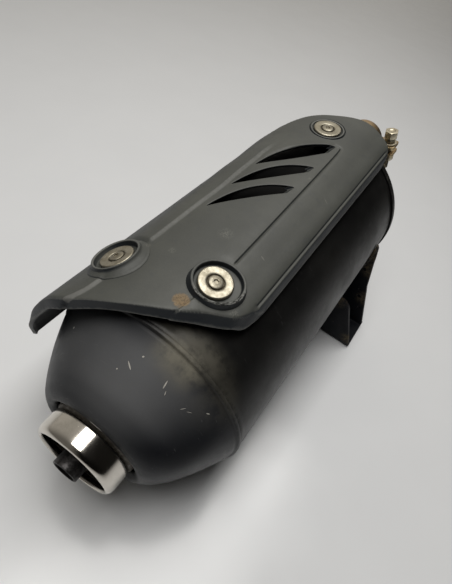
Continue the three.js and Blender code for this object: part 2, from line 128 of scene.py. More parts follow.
def eased_through(at, value, t):
    """A smooth curve through values at given places. value(i) gives those of the knots i."""
    at = np.array(at, float)
    last = len(at) - 1

    def slope(i):
        low, high = np.maximum(i - 1, 0), np.minimum(i + 1, last)
        return (value(high) - value(low)) / (at[high] - at[low])

    t = np.clip(np.asarray(t, float), at[0], at[last])
    k = np.clip(np.searchsorted(at, t, side="right") - 1, 0, last - 1)
    span = at[k + 1] - at[k]
    s = (t - at[k]) / span
    smooth = (2 * s**3 - 3 * s**2 + 1) * value(k) + (3 * s**2 - 2 * s**3) * value(k + 1)
    return smooth + span * ((s**3 - 2 * s**2 + s) * slope(k) + (s**3 - s**2) * slope(k + 1))


def through(knots, t):
    """A smooth curve through (t, value) knots, flat beyond its ends."""
    at, value = np.array(knots, float).T
    return eased_through(at, lambda i: value[i], t)


def smoothstep(x, low, high):
    t = np.clip((np.asarray(x, float) - low) / (high - low), 0, 1)
    return t * t * (3 - 2 * t)


def run_along(points):
    """How far along a polyline each of its points is."""
    return np.concatenate([[0], np.cumsum(np.linalg.norm(np.diff(points, axis=0), axis=1))])


def at_runs(points, run, wanted):
    """The places on a flat polyline at the wanted distances along it."""
    return np.column_stack([np.interp(wanted, run, points[:, k]) for k in (0, 1)])


def spline(points, per_span=6, closed=False):
    """Points on a Catmull-Rom curve through the given ones."""
    p = np.array(points, float)
    n = len(p)
    if closed:
        p = np.vstack([p[-1], p, p[0], p[1]])
    else:
        p = np.vstack([2 * p[0] - p[1], p, 2 * p[-1] - p[-2]])
    out = []
    for i in range(n if closed else n - 1):
        a, b, c, d = p[i:i + 4]
        for s in np.arange(per_span) / per_span:
            out.append(0.5 * (2 * b + (c - a) * s + (2 * a - 5 * b + 4 * c - d) * s * s
                              + (3 * b - a - 3 * c + d) * s**3))
    if not closed:
        out.append(p[-2])
    return np.array(out)


def filleted(points, radius, steps=5, closed=True):
    """A polyline in a plane with its corners rounded. A radius may be given for each corner."""
    p = [Vector(q) for q in points]
    n = len(p)
    radii = [radius] * n if np.isscalar(radius) else radius
    out = []
    for i, corner in enumerate(p):
        if not closed and i in (0, n - 1):
            out.append(tuple(corner))
            continue
        before, after = p[i - 1] - corner, p[(i + 1) % n] - corner
        reach = min(radii[i] / max(math.tan(before.angle(after) / 2), 1e-3),
                    before.length * 0.49, after.length * 0.49)
        if reach < 1e-4 or before.angle(after) > 3.1:
            out.append(tuple(corner))
            continue
        start, end = corner + before.normalized() * reach, corner + after.normalized() * reach
        for k in range(steps + 1):
            s = k / steps
            out.append(tuple((1 - s)**2 * start + 2 * s * (1 - s) * corner + s * s * end))
    return out


class Shape:
    """A mesh being built: points in the can's frame in millimetres, faces and a value for wear and painted
    highlights.
    """

    def __init__(self):
        self.points, self.faces, self.wear_and_highlight = [], [], []

    def add(self, points, wear_and_highlight=0.0):
        first = len(self.points)
        self.points.extend(tuple(p) for p in points)
        count = len(self.points) - first
        self.wear_and_highlight.extend([wear_and_highlight] * count if np.isscalar(wear_and_highlight) else list(wear_and_highlight))
        return list(range(first, first + count))

    def strip(self, one, two):
        """Quads between two closed rings of as many points."""
        for i in range(len(one)):
            j = (i + 1) % len(one)
            self.faces.append((one[i], one[j], two[j], two[i]))

    def cap(self, ring):
        centre = np.mean([self.points[i] for i in ring], axis=0)
        middle_point, = self.add([centre], self.wear_and_highlight[ring[0]])
        for i in range(len(ring)):
            self.faces.append((ring[i], ring[(i + 1) % len(ring)], middle_point))

    def tube(self, rings, wears=None, closed=False, capped=False):
        ids = [self.add(ring, 0.0 if wears is None else wears[i]) for i, ring in enumerate(rings)]
        for i in range(len(ids) - 1):
            self.strip(ids[i], ids[i + 1])
        if closed:
            self.strip(ids[-1], ids[0])
        if capped:
            self.cap(ids[0][::-1])
            self.cap(ids[-1])
        return ids

    def object(self, name, matrix=None, sharp=35):
        """The mesh as an object, its faces turned outwards."""
        mesh = bpy.data.meshes.new(name)
        mesh.from_pydata(self.points, [], self.faces)
        attribute = mesh.attributes.new("wear_and_highlight", "FLOAT", "POINT")
        attribute.data.foreach_set("value", np.array(self.wear_and_highlight, np.float32))
        made = bpy.data.objects.new(name, mesh)
        bpy.context.scene.collection.objects.link(made)
        return settle(made, TO_TABLE if matrix is None else TO_TABLE @ matrix, sharp)


def settle(made, matrix, sharp=35):
    """Welds the mesh, turns its faces out, lays it on the table and marks its sharp edges."""
    made.data.transform(matrix)
    work = bmesh.new()
    work.from_mesh(made.data)
    bmesh.ops.remove_doubles(work, verts=work.verts, dist=2e-6)
    bmesh.ops.dissolve_degenerate(work, edges=work.edges, dist=1e-6)
    bmesh.ops.recalc_face_normals(work, faces=work.faces)
    work.to_mesh(made.data)
    work.free()
    finish_shading(made, sharp)
    return made


def finish_shading(made, sharp=35):
    made.data.polygons.foreach_set("use_smooth", [True] * len(made.data.polygons))
    made.data.set_sharp_from_angle(angle=math.radians(sharp))


def circle(radius, count, x=0.0, centre=(0.0, 0.0)):
    """A ring about the X axis."""
    turn = np.linspace(0, 2 * math.pi, count, endpoint=False)
    return np.column_stack([np.full(count, x), centre[0] + radius * np.sin(turn),
                            centre[1] + radius * np.cos(turn)])


def plane_circle(radius, count, centre=(0, 0)):
    """A circle's points in a plane, for an outline."""
    return [(centre[0] + radius * math.cos(a), centre[1] + radius * math.sin(a))
            for a in np.linspace(0, 2 * math.pi, count, endpoint=False)]


def circle_up(radius, count, z=0.0):
    """A ring about the Z axis."""
    turn = np.linspace(0, 2 * math.pi, count, endpoint=False)
    return np.column_stack([radius * np.cos(turn), radius * np.sin(turn), np.full(count, z)])


def revolved(profile, count=192, centre=(0, 0), wears=None):
    """A closed outline of (x, radius) turned about an axis along X. Ends on the axis are closed."""
    rings = [circle(max(radius, TINY), count, x, centre) for x, radius in profile]
    return turned(rings, wears, solid=profile[0][1] < TINY)


def revolved_up(profile, count=96, wears=None):
    """The same about Z, from (radius, z) points."""
    rings = [circle_up(max(radius, TINY), count, z) for radius, z in profile]
    return turned(rings, wears, solid=profile[0][0] < TINY)


def turned(rings, wears, solid):
    """Rings joined up into a ring-shaped body, or a solid one whose first and last are on the axis."""
    shape = Shape()
    if solid:
        rings = rings[1:-1]
        wears = wears[1:-1] if wears is not None else None
    shape.tube(rings, wears, closed=not solid, capped=solid)
    return shape


def prism(outline, low, high, axis="Z"):
    """A flat outline made thick, along Z or, from (y, z) points, along X."""
    shape = Shape()
    upright = axis == "Z"
    ids = [shape.add([(a, b, h) if upright else (h, a, b) for a, b in outline]) for h in (low, high)]
    shape.strip(*ids)
    shape.faces += [tuple(ids[0][::-1]), tuple(ids[1])]
    return shape


def hexagon(across_flats, turn=0.0):
    corner = across_flats / math.sqrt(3)
    return [(corner * math.cos(turn + k * math.pi / 3), corner * math.sin(turn + k * math.pi / 3))
            for k in range(6)]


def combine(base, tools, operation="DIFFERENCE"):
    """Cuts or joins solids, and takes the tools away."""
    for tool in tools:
        modifier = base.modifiers.new("cut", "BOOLEAN")
        modifier.operation = operation
        modifier.solver = "MANIFOLD"
        modifier.object = tool
    apply_modifiers(base)
    for tool in tools:
        bpy.data.objects.remove(tool)
    return base


def apply_modifiers(made):
    ready = bpy.data.meshes.new_from_object(made.evaluated_get(bpy.context.evaluated_depsgraph_get()))
    made.modifiers.clear()
    made.data = ready


def bevelled(made, width, segments=2, angle=35, sharp=35):
    modifier = made.modifiers.new("bevel", "BEVEL")
    modifier.width = width * MM
    modifier.segments = segments
    modifier.limit_method = "ANGLE"
    modifier.angle_limit = math.radians(angle)
    modifier.harden_normals = False
    apply_modifiers(made)
    finish_shading(made, sharp)
    return made


def weld_bead(name, path, radius, seed, closed=False, ripple=0.18, pitch=2.2):
    """A lumpy bead of weld along a path in the can's frame."""
    path = np.array(path, float)
    count = len(path)
    if closed:
        ahead, behind = np.roll(path, -1, axis=0), np.roll(path, 1, axis=0)
    else:
        ahead, behind = np.vstack([path[1:], path[-1]]), np.vstack([path[0], path[:-1]])
    along = ahead - behind
    along /= np.linalg.norm(along, axis=1)[:, None]
    run = run_along(path)
    side = np.cross(along, (0.31, 0.22, 0.92))
    side /= np.linalg.norm(side, axis=1)[:, None]
    other = np.cross(along, side)
    rings = []
    for i in range(count):
        ring = []
        scallop = abs(math.sin(math.pi * run[i] / pitch))
        taper = 1.0 if closed else min(1.0, 0.35 + run[i] / 2.5, 0.35 + (run[-1] - run[i]) / 2.5)
        for k in range(14):
            turn = 2 * math.pi * k / 14
            lump = noise.noise(Vector(path[i]) * 0.5 + Vector((seed, math.cos(turn), math.sin(turn))))
            size = radius * taper * (1 + ripple * (scallop - 0.5) + 0.25 * lump)
            ring.append(path[i] + size * (math.cos(turn) * side[i] + math.sin(turn) * other[i]))
        rings.append(ring)
    shape = Shape()
    shape.tube(rings, closed=closed, capped=not closed)
    return shape.object(name, sharp=80)

# ---- places and marks ------------------------------------------------------------------------

ALONG = (TO_TABLE.to_3x3() @ Vector((1, 0, 0))).normalized()

# Scuffs on the shield: x and angle of each end and width. Patches: x, angle and size.
SCUFFS = [(72.2, -17, 71.3, -19.4, 0.5), (46.4, 9.3, 49.4, 10.4, 0.35), (141.8, -27, 147, -20.6, 0.3),
          (164, -20, 150, -33, 0.25), (100, 6, 112, 1, 0.2), (19.4, -26.2, 26.4, -25.4, 0.3)]
SCUFF_PATCHES = [(70.7, 0.6, 6.5), (36.4, 22.8, 3.5), (40.5, 12.2, 3.2), (152, -9.6, 2.5), (30, -24.5, 5)]

# Scratches in the can's paint: x, angle and radius of each end, and width.
SCRATCHES = [
    (-20.2, -2.6, 60.5, -23.6, -7.8, 58.4, 0.42), (-15.6, -23.8, 63.2, -19.9, -25.0, 60.7, 0.34),
    (-19.6, -26.9, 61, -21.6, -28.1, 59.7, 0.2), (-17.9, 40.6, 61.8, -18.6, 39.9, 61.4, 0.7),
    (-14.7, -7.4, 63.6, -15.2, -8.1, 63.3, 0.6), (-26.0, -0.1, 57.1, -26.5, -0.8, 56.8, 0.45),
    (-19.4, -40.9, 60.9, -17.0, -44.5, 62.3, 0.14), (-20.4, -38.7, 60.5, -18.0, -40.3, 61.8, 0.14),
    (-12.0, -49.1, 65.1, -10.7, -51.0, 65.7, 0.3),
    (-30, 120, 54.6, -24, 126, 58, 0.3), (60, 150, 70, 74, 146, 70, 0.3),
    (150, 110, 70, 140, 122, 70, 0.25)]

# On the bracket: rusty places and dark spots, as x, y, z and size.
RUSTY = [(213, -74, -4, 20), (215, -77, -24, 14), (181, -64, -42, 14), (215, -84, -60, 12),
         (181, -90, -84, 9), (214, 40, -56, 16), (181, 44, -60, 14)]
DARK_SPOTS = [(213.5, -76.8, -52, 2.3), (213.5, -78.6, -60, 2.3), (213.5, -71, -26, 2.0),
              (213.5, -84, -74, 2.0), (213.5, -79, -82, 1.8)]

# ---- the heat shield -------------------------------------------------------------------------

REAR_EDGE = [(-34.8, 44), (-33, 32.5), (-29, 25), (-17.8, 13.4), (-4, 2.2), (10.4, -6.9),
             (26.3, -16.2), (45, -21.5), (72, -24.5), (86, -22)]
REAR_FOLD = [(-34.8, 50), (-30.5, 42), (-27, 31.5), (-17.3, 20), (-8, 9.2), (4, -0.6),
             (17.2, -10.3), (36, -17.2), (60, -21), (86, -19)]
NOSE_FOLD = [(-34.8, 229), (-30.5, 240), (-24, 246.5), (-13, 249.2), (-5, 246.5), (5, 239),
             (13, 231.5), (20, 222), (26, 210), (32, 192), (40, 168), (52, 134), (68, 80), (86, 8)]
SHIELD_RIGHT, SHIELD_CREASE, SHIELD_LEFT = -34.8, -30.5, 86
FLAT_RADIUS = 82              # arc lengths round the shield are taken at this radius
FLANGE_RUN = 6.0              # room that a flange takes up in the flat pattern
PER_DEGREE = math.radians(1) * FLAT_RADIUS

# Lines moulded in the shield, as (x, angle) points.
PANEL_CREASE = [(54, -11.3), (88, -11.2), (126, -11), (165, -10.8), (196, -10.4), (200.5, -9.4),
                (200.2, -7.4)]
LEFT_STEP = [(39, 24.2), (57, 23.2), (86, 21.8), (106, 20.6), (130, 20.4), (148, 19.9), (172, 19.2),
             (190, 18.6)]
REAR_STEP = [(8, 25.6), (-2, 26.4), (-8, 27.6), (-13, 29.6), (-17, 32)]
BOSS_CREASE = [(22, -9.2), (14, -8.4), (7, -7.6)]

# Louvres seen from above: left point, handle of the bowed far edge, right tip, corner of the
# blunt right end and handle of the near edge. The right end's wall slopes in by the ramp.
LOUVRES = [
    ((85.2, 25.8), (125, 18), (137, -10), (128, -8.6), (110, 7.4)),
    ((113.6, 25.8), (153.5, 18.3), (165.3, -10.2), (157.6, -9), (137.3, 6)),
    ((142.6, 25), (184, 18), (199, -10.8), (188.2, -9.6), (164.8, 4.8))]
LOUVRE_RAMP = 3.2
FRONT_LIP = [(150, 17.4), (166, 14.2), (177, 9.6), (187, 3), (194, -3), (198, -6.6)]


def flange_share(angle):
    """The flanges fade out into the plain lower edge on the left, and into the lip on the right."""
    on_left = smoothstep(angle, 50, 80)
    on_right = 1 - smoothstep(angle, SHIELD_RIGHT, SHIELD_CREASE)
    return 1 - 0.7 * np.maximum(on_left, on_right)


def shield_radius(x, angle):
    """How far the skin stands from the can's axis: nearly flat on the left, and tapering to the nose."""
    side = np.maximum(81.4 - 0.0415 * x, 74.8)
    shoulder = np.minimum(side / math.cos(math.radians(24)) - 1, 82)
    flank = side / math.cos(math.radians(12)) - 0.4
    at = [SHIELD_RIGHT, SHIELD_CREASE, -20, -11, 5, 20, 32, 44, 56, 86]
    full = np.ones_like(side)
    value = [full * (82 - FLANGE_DROP), full * 82, full * 82.1, full * 82, full * 81.2, full * 82.3,
             shoulder, flank, side, side - 1]
    value, column = np.array(value), np.arange(len(side))
    return eased_through(at, lambda i: value[i, column], angle)


def shield_folded(run, angle):
    """Points of the shield with sharp folds, from its flat pattern. run is x, plus the flanges."""
    rear, nose = through(REAR_FOLD, angle), through(NOSE_FOLD, angle)
    drop = FLANGE_DROP * flange_share(angle)
    x = np.clip(run, rear, nose)
    radius = shield_radius(x, angle)
    back = np.clip((rear - run) / FLANGE_RUN, 0, 1)
    ahead = np.clip((run - nose) / FLANGE_RUN, 0, 1)
    edge = np.maximum(radius - drop, CAN_RADIUS + SHIELD_THICKNESS + 2)
    x = x + back * (through(REAR_EDGE, angle) - rear) + ahead * 0.8
    radius = radius - back * drop + ahead * (edge - radius)
    turn = np.radians(angle)
    return np.stack([x, radius * np.sin(turn), radius * np.cos(turn)], axis=-1)


def shield_rounded(flat, spread=1.1):
    """Points of the shield's outer skin with its folds rounded."""
    run, angle = flat[:, 0], flat[:, 1] / PER_DEGREE
    across_spread = spread * 0.7 / PER_DEGREE
    taps = ((-1, 1), (-0.5, 2), (0, 3), (0.5, 2), (1, 1))
    total, weights = 0, 0
    for along, long_weight in taps:
        for across, side_weight in taps:
            weight = long_weight * side_weight
            total = total + weight * shield_folded(run + along * spread, angle + across * across_spread)
            weights += weight
    return total / weights


def from_line(flat, line):
    """Signed distance from a line in the flat pattern, positive on its left, and the way along it."""
    points = spline([(x, angle * PER_DEGREE) for x, angle in line], 4)
    best = np.full(len(flat), 1e9)
    signed, along = np.zeros(len(flat)), np.zeros(len(flat))
    run = 0.0
    for a, b in zip(points[:-1], points[1:]):
        d = b - a
        length = np.linalg.norm(d)
        t = np.clip(((flat - a) @ d) / length**2, 0, 1)
        away = flat - a - t[:, None] * d
        distance = np.linalg.norm(away, axis=1)
        closer = distance < best
        best = np.where(closer, distance, best)
        side = np.sign(d[0] * (flat[:, 1] - a[1]) - d[1] * (flat[:, 0] - a[0]))
        signed = np.where(closer, side * distance, signed)
        along = np.where(closer, run + t * length, along)
        run += length
    return signed, along, run


def shield_relief(flat):
    """How far the moulded lines lift or sink the skin, in millimetres, where they are rubbed, and where they
    are painted with highlights.
    """
    lift, wear_and_highlight = np.zeros(len(flat)), np.zeros(len(flat))
    angle = flat[:, 1] / PER_DEGREE
    away, along, length = from_line(flat, PANEL_CREASE)
    inside = smoothstep(along, -0.1, 3)
    lift += inside * (-0.6 * np.exp(-((away + 0.55) / 0.6)**2) + 0.22 * np.exp(-((away - 0.75) / 0.7)**2))
    lift += inside * 0.4 * smoothstep(away, -1, 1) * (1 - smoothstep(away, 3, 16))
    # Along the crease's raised lip this value is a painted highlight, for the light line that the ridge
    # catches.
    wear_and_highlight += inside * 0.5 * np.exp(-((away - 0.75) / 0.45)**2)
    for line, tall in ((LEFT_STEP, 1.3), (REAR_STEP, -1.3)):
        away, along, length = from_line(flat, line)
        away = away * np.sign(tall)
        ends = smoothstep(along, -0.1, 4) if tall > 0 else 1.0
        fade = 1 - smoothstep(along, length - 32, length) if tall > 0 else 1.0
        step = smoothstep(away, -1.7, 1.7) * (1 - smoothstep(away, 6, 26))
        lift += abs(tall) * step * ends * fade * (1 - smoothstep(angle, 40, 56))
        # The band along each step is painted lighter: a painted highlight on the step's facet, with some
        # rubbed wear.
        band = smoothstep(away, -2.1, -1.4) * (1 - smoothstep(away, 1.2, 1.9)) * fade * ends
        wear_and_highlight += (0.55 if tall > 0 else 0.8) * band
    away, along, length = from_line(flat, BOSS_CREASE)
    near_boss = 1 - smoothstep(flat[:, 0], 19, 25)
    lift += near_boss * 0.8 * smoothstep(away, -0.6, 0.6) * (1 - smoothstep(away, 2, 12))
    lift -= near_boss * 0.35 * np.exp(-((away + 0.5) / 0.5)**2)
    wear_and_highlight += near_boss * 0.35 * np.exp(-((away - 0.5) / 0.4)**2)
    away, along, length = from_line(flat, FRONT_LIP)
    lip = smoothstep(away, -1, 0.5) * (1 - smoothstep(away, 1.5, 6)) * smoothstep(along, -0.1, 9)
    lift += 0.6 * lip * (1 - smoothstep(along, length - 4, length + 0.1))
    groove = flat[:, 1] - (SHIELD_CREASE + 1.0) * PER_DEGREE
    rear, nose = through(REAR_FOLD, angle), through(NOSE_FOLD, angle)
    held = smoothstep(flat[:, 0], rear - 1, rear + 8) * (1 - smoothstep(flat[:, 0], nose - 10, nose))
    lift += held * (-0.85 * np.exp(-(groove / 0.6)**2) + 0.15 * np.exp(-((groove + 1.3) / 0.6)**2))
    wear_and_highlight += held * 0.25 * smoothstep(groove, -3.2, -1.2) * (1 - smoothstep(groove, -0.9, -0.4))
    for fold, reach in ((rear - 0.2, 0.7), (nose, 0.6)):
        wear_and_highlight += 0.6 * np.exp(-((flat[:, 0] - fold) / reach)**2)
    wear_and_highlight += 0.5 * np.exp(-((angle - SHIELD_RIGHT - 1.5) / 0.8)**2)
    return lift, np.clip(wear_and_highlight, 0, 1)


def shield_skin(flat, relief=True):
    """The outer skin's points, its outward normals and its wear and painted highlights, from the flat
    pattern.
    """
    flat = np.asarray(flat, float)
    step = 0.4
    at = shield_rounded(flat)
    along = shield_rounded(flat + (step, 0)) - shield_rounded(flat - (step, 0))
    across = shield_rounded(flat + (0, step)) - shield_rounded(flat - (0, step))
    normal = np.cross(along, across)
    normal /= np.linalg.norm(normal, axis=1)[:, None]
    normal *= np.sign(np.sum(normal * at * (0, 1, 1), axis=1))[:, None]
    if not relief:
        return at, normal, np.zeros(len(flat))
    lift, wear_and_highlight = shield_relief(flat)
    return at + normal * lift[:, None], normal, wear_and_highlight


def border_pattern(spacing):
    """The shield's outline in the flat pattern, as one closed loop."""
    angles = np.arange(SHIELD_RIGHT, SHIELD_LEFT, spacing / PER_DEGREE)
    angles = np.append(angles, SHIELD_LEFT)
    rear = np.column_stack([through(REAR_FOLD, angles) - FLANGE_RUN, angles * PER_DEGREE])
    nose = np.column_stack([through(NOSE_FOLD, angles) + FLANGE_RUN, angles * PER_DEGREE])
    loops = []
    for corners in (rear, [rear[-1], nose[-1]], nose[::-1], [nose[0], rear[0]]):
        corners = np.array(corners)
        run = run_along(corners)
        loops.append(at_runs(corners, run, np.linspace(0, run[-1], max(2, int(run[-1] / spacing)))[:-1]))
    return np.vstack(loops)


def resampled(loop, spacing):
    loop = np.vstack([loop, loop[0]])
    run = run_along(loop)
    return at_runs(loop, run, np.linspace(0, run[-1], int(run[-1] / spacing))[:-1])


def louvre_loop(louvre):
    """A louvre's outline in the flat pattern, with small round tips."""
    point, far_handle, tip, corner, near_handle = louvre

    def bow(start, handle, end, steps=24):
        s = np.linspace(0, 1, steps)[:, None]
        start, handle, end = map(np.array, (start, handle, end))
        return (1 - s)**2 * start + 2 * s * (1 - s) * handle + s * s * end

    outline = np.vstack([bow(point, far_handle, tip)[1:-1], [tip],
                         bow(corner, near_handle, point)[:-1], [point]])
    rounded = np.array(filleted([tuple(p) for p in outline], 0.7, 6))
    rounded = resampled(rounded, 0.75)
    angle = np.degrees(np.arcsin(rounded[:, 1] / FLAT_RADIUS))
    return np.column_stack([rounded[:, 0], angle * PER_DEGREE])


def widened(loop, distance):
    """A loop in a plane moved outwards by a distance."""
    ahead, behind = np.roll(loop, -1, axis=0), np.roll(loop, 1, axis=0)
    along = ahead - behind
    along /= np.maximum(np.linalg.norm(along, axis=1), 1e-9)[:, None]
    area = np.sum(loop[:, 0] * ahead[:, 1] - ahead[:, 0] * loop[:, 1])
    outward = np.column_stack([along[:, 1], -along[:, 0]]) * (1 if area > 0 else -1)
    return loop + outward * distance


def inside_loop(points, loop):
    x, y = points[:, 0][:, None], points[:, 1][:, None]
    x0, y0 = loop[:, 0], loop[:, 1]
    x1, y1 = np.roll(x0, -1), np.roll(y0, -1)
    crossing = ((y0 > y) != (y1 > y)) & (x < (x1 - x0) * (y - y0) / np.where(y1 == y0, 1e-12, y1 - y0) + x0)
    return crossing.sum(axis=1) % 2 == 1


def in_region(points, border, holes):
    keep = inside_loop(points, border[0])
    for flat, _ in holes:
        keep &= ~inside_loop(points, flat)
    return keep


def distances(points, others):
    """How far each flat point is from the nearest of the others."""
    tree = kdtree.KDTree(len(others))
    for i, p in enumerate(others):
        tree.insert((*p, 0), i)
    tree.balance()
    return np.array([tree.find((*p, 0))[2] for p in points])


def filled(shape, border, holes, extra, spacing, surface):
    """Fills a flat region between loops with even triangles, laid on a surface.

    border and holes are (flat loop, ids in shape) pairs. extra are flat points that follow the
    moulded lines, round which the even grid is left out.
    """
    loops = [border, *holes]
    fixed = np.vstack([flat for flat, _ in loops])
    low, high = border[0].min(axis=0), border[0].max(axis=0)
    xs, ys = np.arange(low[0], high[0], spacing), np.arange(low[1], high[1], spacing * 0.9)
    grid = np.array([(x + (row % 2) * spacing / 2, y) for row, y in enumerate(ys) for x in xs])
    crowd = np.vstack([fixed, extra]) if len(extra) else fixed
    grid = grid[distances(grid, crowd) > spacing * 0.6]
    free = np.vstack([grid, extra]) if len(extra) else grid
    keep = in_region(free, border, holes)
    keep &= distances(free, fixed) > 0.3
    free = free[keep]
    points, _, wear_and_highlight = surface(free)
    ids = [i for _, some in loops for i in some] + shape.add(points, wear_and_highlight)
    edges, first = [], 0
    for flat, _ in loops:
        count = len(flat)
        edges += [(first + i, first + (i + 1) % count) for i in range(count)]
        first += count
    flat_all = np.vstack([fixed, free])
    made = delaunay_2d_cdt([Vector(p) for p in flat_all], edges, [], 0, 1e-5, True)
    source = [found[0] if found else -1 for found in made[3]]
    triangles = np.array([[source[i] for i in face] for face in made[2]])
    triangles = triangles[(triangles >= 0).all(axis=1)]
    centres = flat_all[triangles].mean(axis=1)
    keep = in_region(centres, border, holes)
    shape.faces += [tuple(ids[i] for i in face) for face in triangles[keep]]


def along_line(line, offsets, spacing=1.1):
    """Flat points beside a moulded line, so that its relief is drawn finely."""
    points = spline([(x, angle * PER_DEGREE) for x, angle in line], 12)
    run = run_along(points)
    points = at_runs(points, run, np.linspace(0, run[-1], max(3, int(run[-1] / spacing))))
    along = np.gradient(points, axis=0)
    along /= np.linalg.norm(along, axis=1)[:, None]
    across = np.column_stack([-along[:, 1], along[:, 0]])
    return np.vstack([points + offset * across for offset in offsets])


def station_frame(station):
    turn = math.radians(station["angle"])
    up = np.array([0, math.sin(turn), math.cos(turn)])
    side = np.array([0, math.cos(turn), -math.sin(turn)])
    return np.array([station["x"], 0, 0]), np.array([1.0, 0, 0]), side, up


def station_flat(station, plan):
    """Flat pattern places of points given by (x, sideways) offsets from a station's screw."""
    return np.column_stack([station["x"] + plan[:, 0], (station["angle"] + np.degrees(
        np.arcsin(plan[:, 1] / FLAT_RADIUS))) * PER_DEGREE])


CUP_STEPS = 112
WASHER_SEAT, SCREW_HOLE = 8, 5.2    # radii of the seat's flat middle and of its hole
# The rear right cup is a little oval: its long and short directions, along x and sideways.
CUP_LONG, CUP_SHORT = np.array([0.56, -0.83]), np.array([0.83, 0.56])


def ovalled(plan, off):
    """The plan of the rear right cup, drawn out along one direction and narrowed along the other."""
    plan = plan + np.outer((plan - off) @ CUP_LONG, CUP_LONG) * 0.07
    return plan - np.outer((plan - off) @ CUP_SHORT, CUP_SHORT) * 0.04


def cup_profile(station):
    """(radius, height, wear) from the foot up over the rim and down to the screw's hole.

    A height of up to 1 is a share of the climb from the panel to the rim, and None is the panel.
    """
    seat, rim, cup, foot = (station[key] for key in ("seat", "rim", "cup", "foot"))
    profile = [(foot, None, 0.0)]
    shares = (0.15, 0.4, 0.7)
    if is_flared(station):
        profile += [(foot - 0.15, 0.05, 0.35), (foot - 0.5, 0.12, 0.3), (foot - 0.9, 0.16, 0.1)]
        shares = (0.3, 0.45, 0.6, 0.75, 0.88)
    for share in shares:
        profile.append((foot + (cup + 0.35 - foot) * share, share, 0.0))
    profile += [(cup + 0.35, rim - 1.0, 0.05), (cup + 0.22, rim - 0.35, 0.2),
                (cup - 0.02, rim - 0.06, 0.4), (cup - 0.4, rim, 0.5), (cup - 0.9, rim - 0.04, 0.7),
                (cup - 1.2, rim - 0.2, 0.8), (cup - 1.4, rim - 0.6, 0.3), (cup - 1.5, rim - 1.1, 0),
                (cup - 1.7, seat + 0.6, 0), (cup - 1.95, seat + 0.15, 0), (cup - 2.3, seat, 0),
                (WASHER_SEAT, seat, 0), (SCREW_HOLE, seat, 0), (SCREW_HOLE, seat - SHIELD_THICKNESS, 0)]
    return profile


def is_flared(station):
    return station["foot"] - station["cup"] > 2.5


def shield_cup(shape, name, station):
    """The cup moulded round a fastener. Returns its foot and its hole, for the skins to join."""
    centre, along, side, up = station_frame(station)
    off = np.array(station["off"], float)
    turn = np.linspace(0, 2 * math.pi, CUP_STEPS, endpoint=False)
    ring = np.column_stack([np.cos(turn), np.sin(turn)])
    flared, oval = is_flared(station), name == "rear_right"
    loops = []
    for radius, height, wear_and_highlight in cup_profile(station):
        outer = radius > WASHER_SEAT
        plan = ring * radius + off * outer
        if oval and outer:
            plan = ovalled(plan, off)
        panel, _, _ = shield_skin(station_flat(station, plan))
        level = panel @ up
        if height is None:
            z = level
        elif height < 1.01:
            rise = height**1.35 if flared else height
            crisp = 0.55 * min(1.0, height / 0.12) if flared else 0.0
            z = level + crisp + (station["rim"] - 1.6 - crisp - level) * rise
        else:
            z = np.full(CUP_STEPS, float(height))
        if oval and wear_and_highlight > 0.1:
            chipped = np.clip(np.cos(turn - math.radians(215)) * 1.9 - 0.3, 0, 1)
            bite = np.array([noise.noise(Vector((p[0] * 0.9, p[1] * 0.9, 3.0))) +
                             0.6 * noise.noise(Vector((p[0] * 2.4, p[1] * 2.4, 7.0))) for p in plan])
            z = z + chipped * (1.3 * bite - 0.35)
            plan = off + (plan - off) * (1 + (chipped * bite * 0.045)[:, None])
            wear_and_highlight = np.clip(wear_and_highlight * 0.6 + chipped * (0.8 + bite), 0, 1)
        loops.append(shape.add(centre + plan[:, :1] * along + plan[:, 1:] * side + z[:, None] * up, wear_and_highlight))
    for one, two in zip(loops[:-1], loops[1:]):
        shape.strip(one, two)
    foot_plan = ring * station["foot"] + off
    if oval:
        foot_plan = ovalled(foot_plan, off)
    foot_flat = station_flat(station, foot_plan)
    hole_flat = station_flat(station, ring * SCREW_HOLE)
    return (foot_flat, loops[0]), (hole_flat, loops[-1])


def underside(flat):
    """The inner skin: the outer one without its moulded lines, a thickness lower, flat under cups."""
    at, normal, _ = shield_skin(flat, relief=False)
    at = at - normal * SHIELD_THICKNESS
    for station in STATIONS.values():
        centre, along, side, up = station_frame(station)
        local = at - centre
        away = np.hypot(local @ along, local @ side)
        share = 1 - smoothstep(away, 8, station["cup"] + 2)
        sink = np.minimum(station["seat"] - SHIELD_THICKNESS - local @ up, 0)
        at = at + (share * sink)[:, None] * up
    return at, normal, np.zeros(len(flat))


def louvre_walls(shape, louvre):
    """The rounded edge and the walls of a louvre. Returns its upper and its lower opening."""
    outline = louvre_loop(louvre)
    corner_side = louvre[3][1]
    at_end = smoothstep(-outline[:, 1], -corner_side - 3.4, -corner_side - 1.2)
    rings = []
    for widen, sink, wear_and_highlight in ((0.9, 0.0, 0.0), (0.5, 0.05, 0.45), (0.22, 0.2, 0.45), (0.05, 0.42, 0.45),
                              (0.0, 0.7, 0.0)):
        flat = widened(outline, widen)
        at, normal, _ = shield_skin(flat)
        rings.append((flat, shape.add(at - normal * sink, wear_and_highlight)))
    undercut = widened(outline, 1.3) - outline
    ramp = np.column_stack([-LOUVRE_RAMP * 0.8 * at_end, LOUVRE_RAMP * 0.9 * at_end])
    low_flat = outline + undercut * (1 - at_end)[:, None] + ramp
    rings.append((low_flat, shape.add(underside(low_flat)[0], 0.0)))
    for one, two in zip(rings[:-1], rings[1:]):
        shape.strip(one[1], two[1])
    return rings[0], rings[-1]


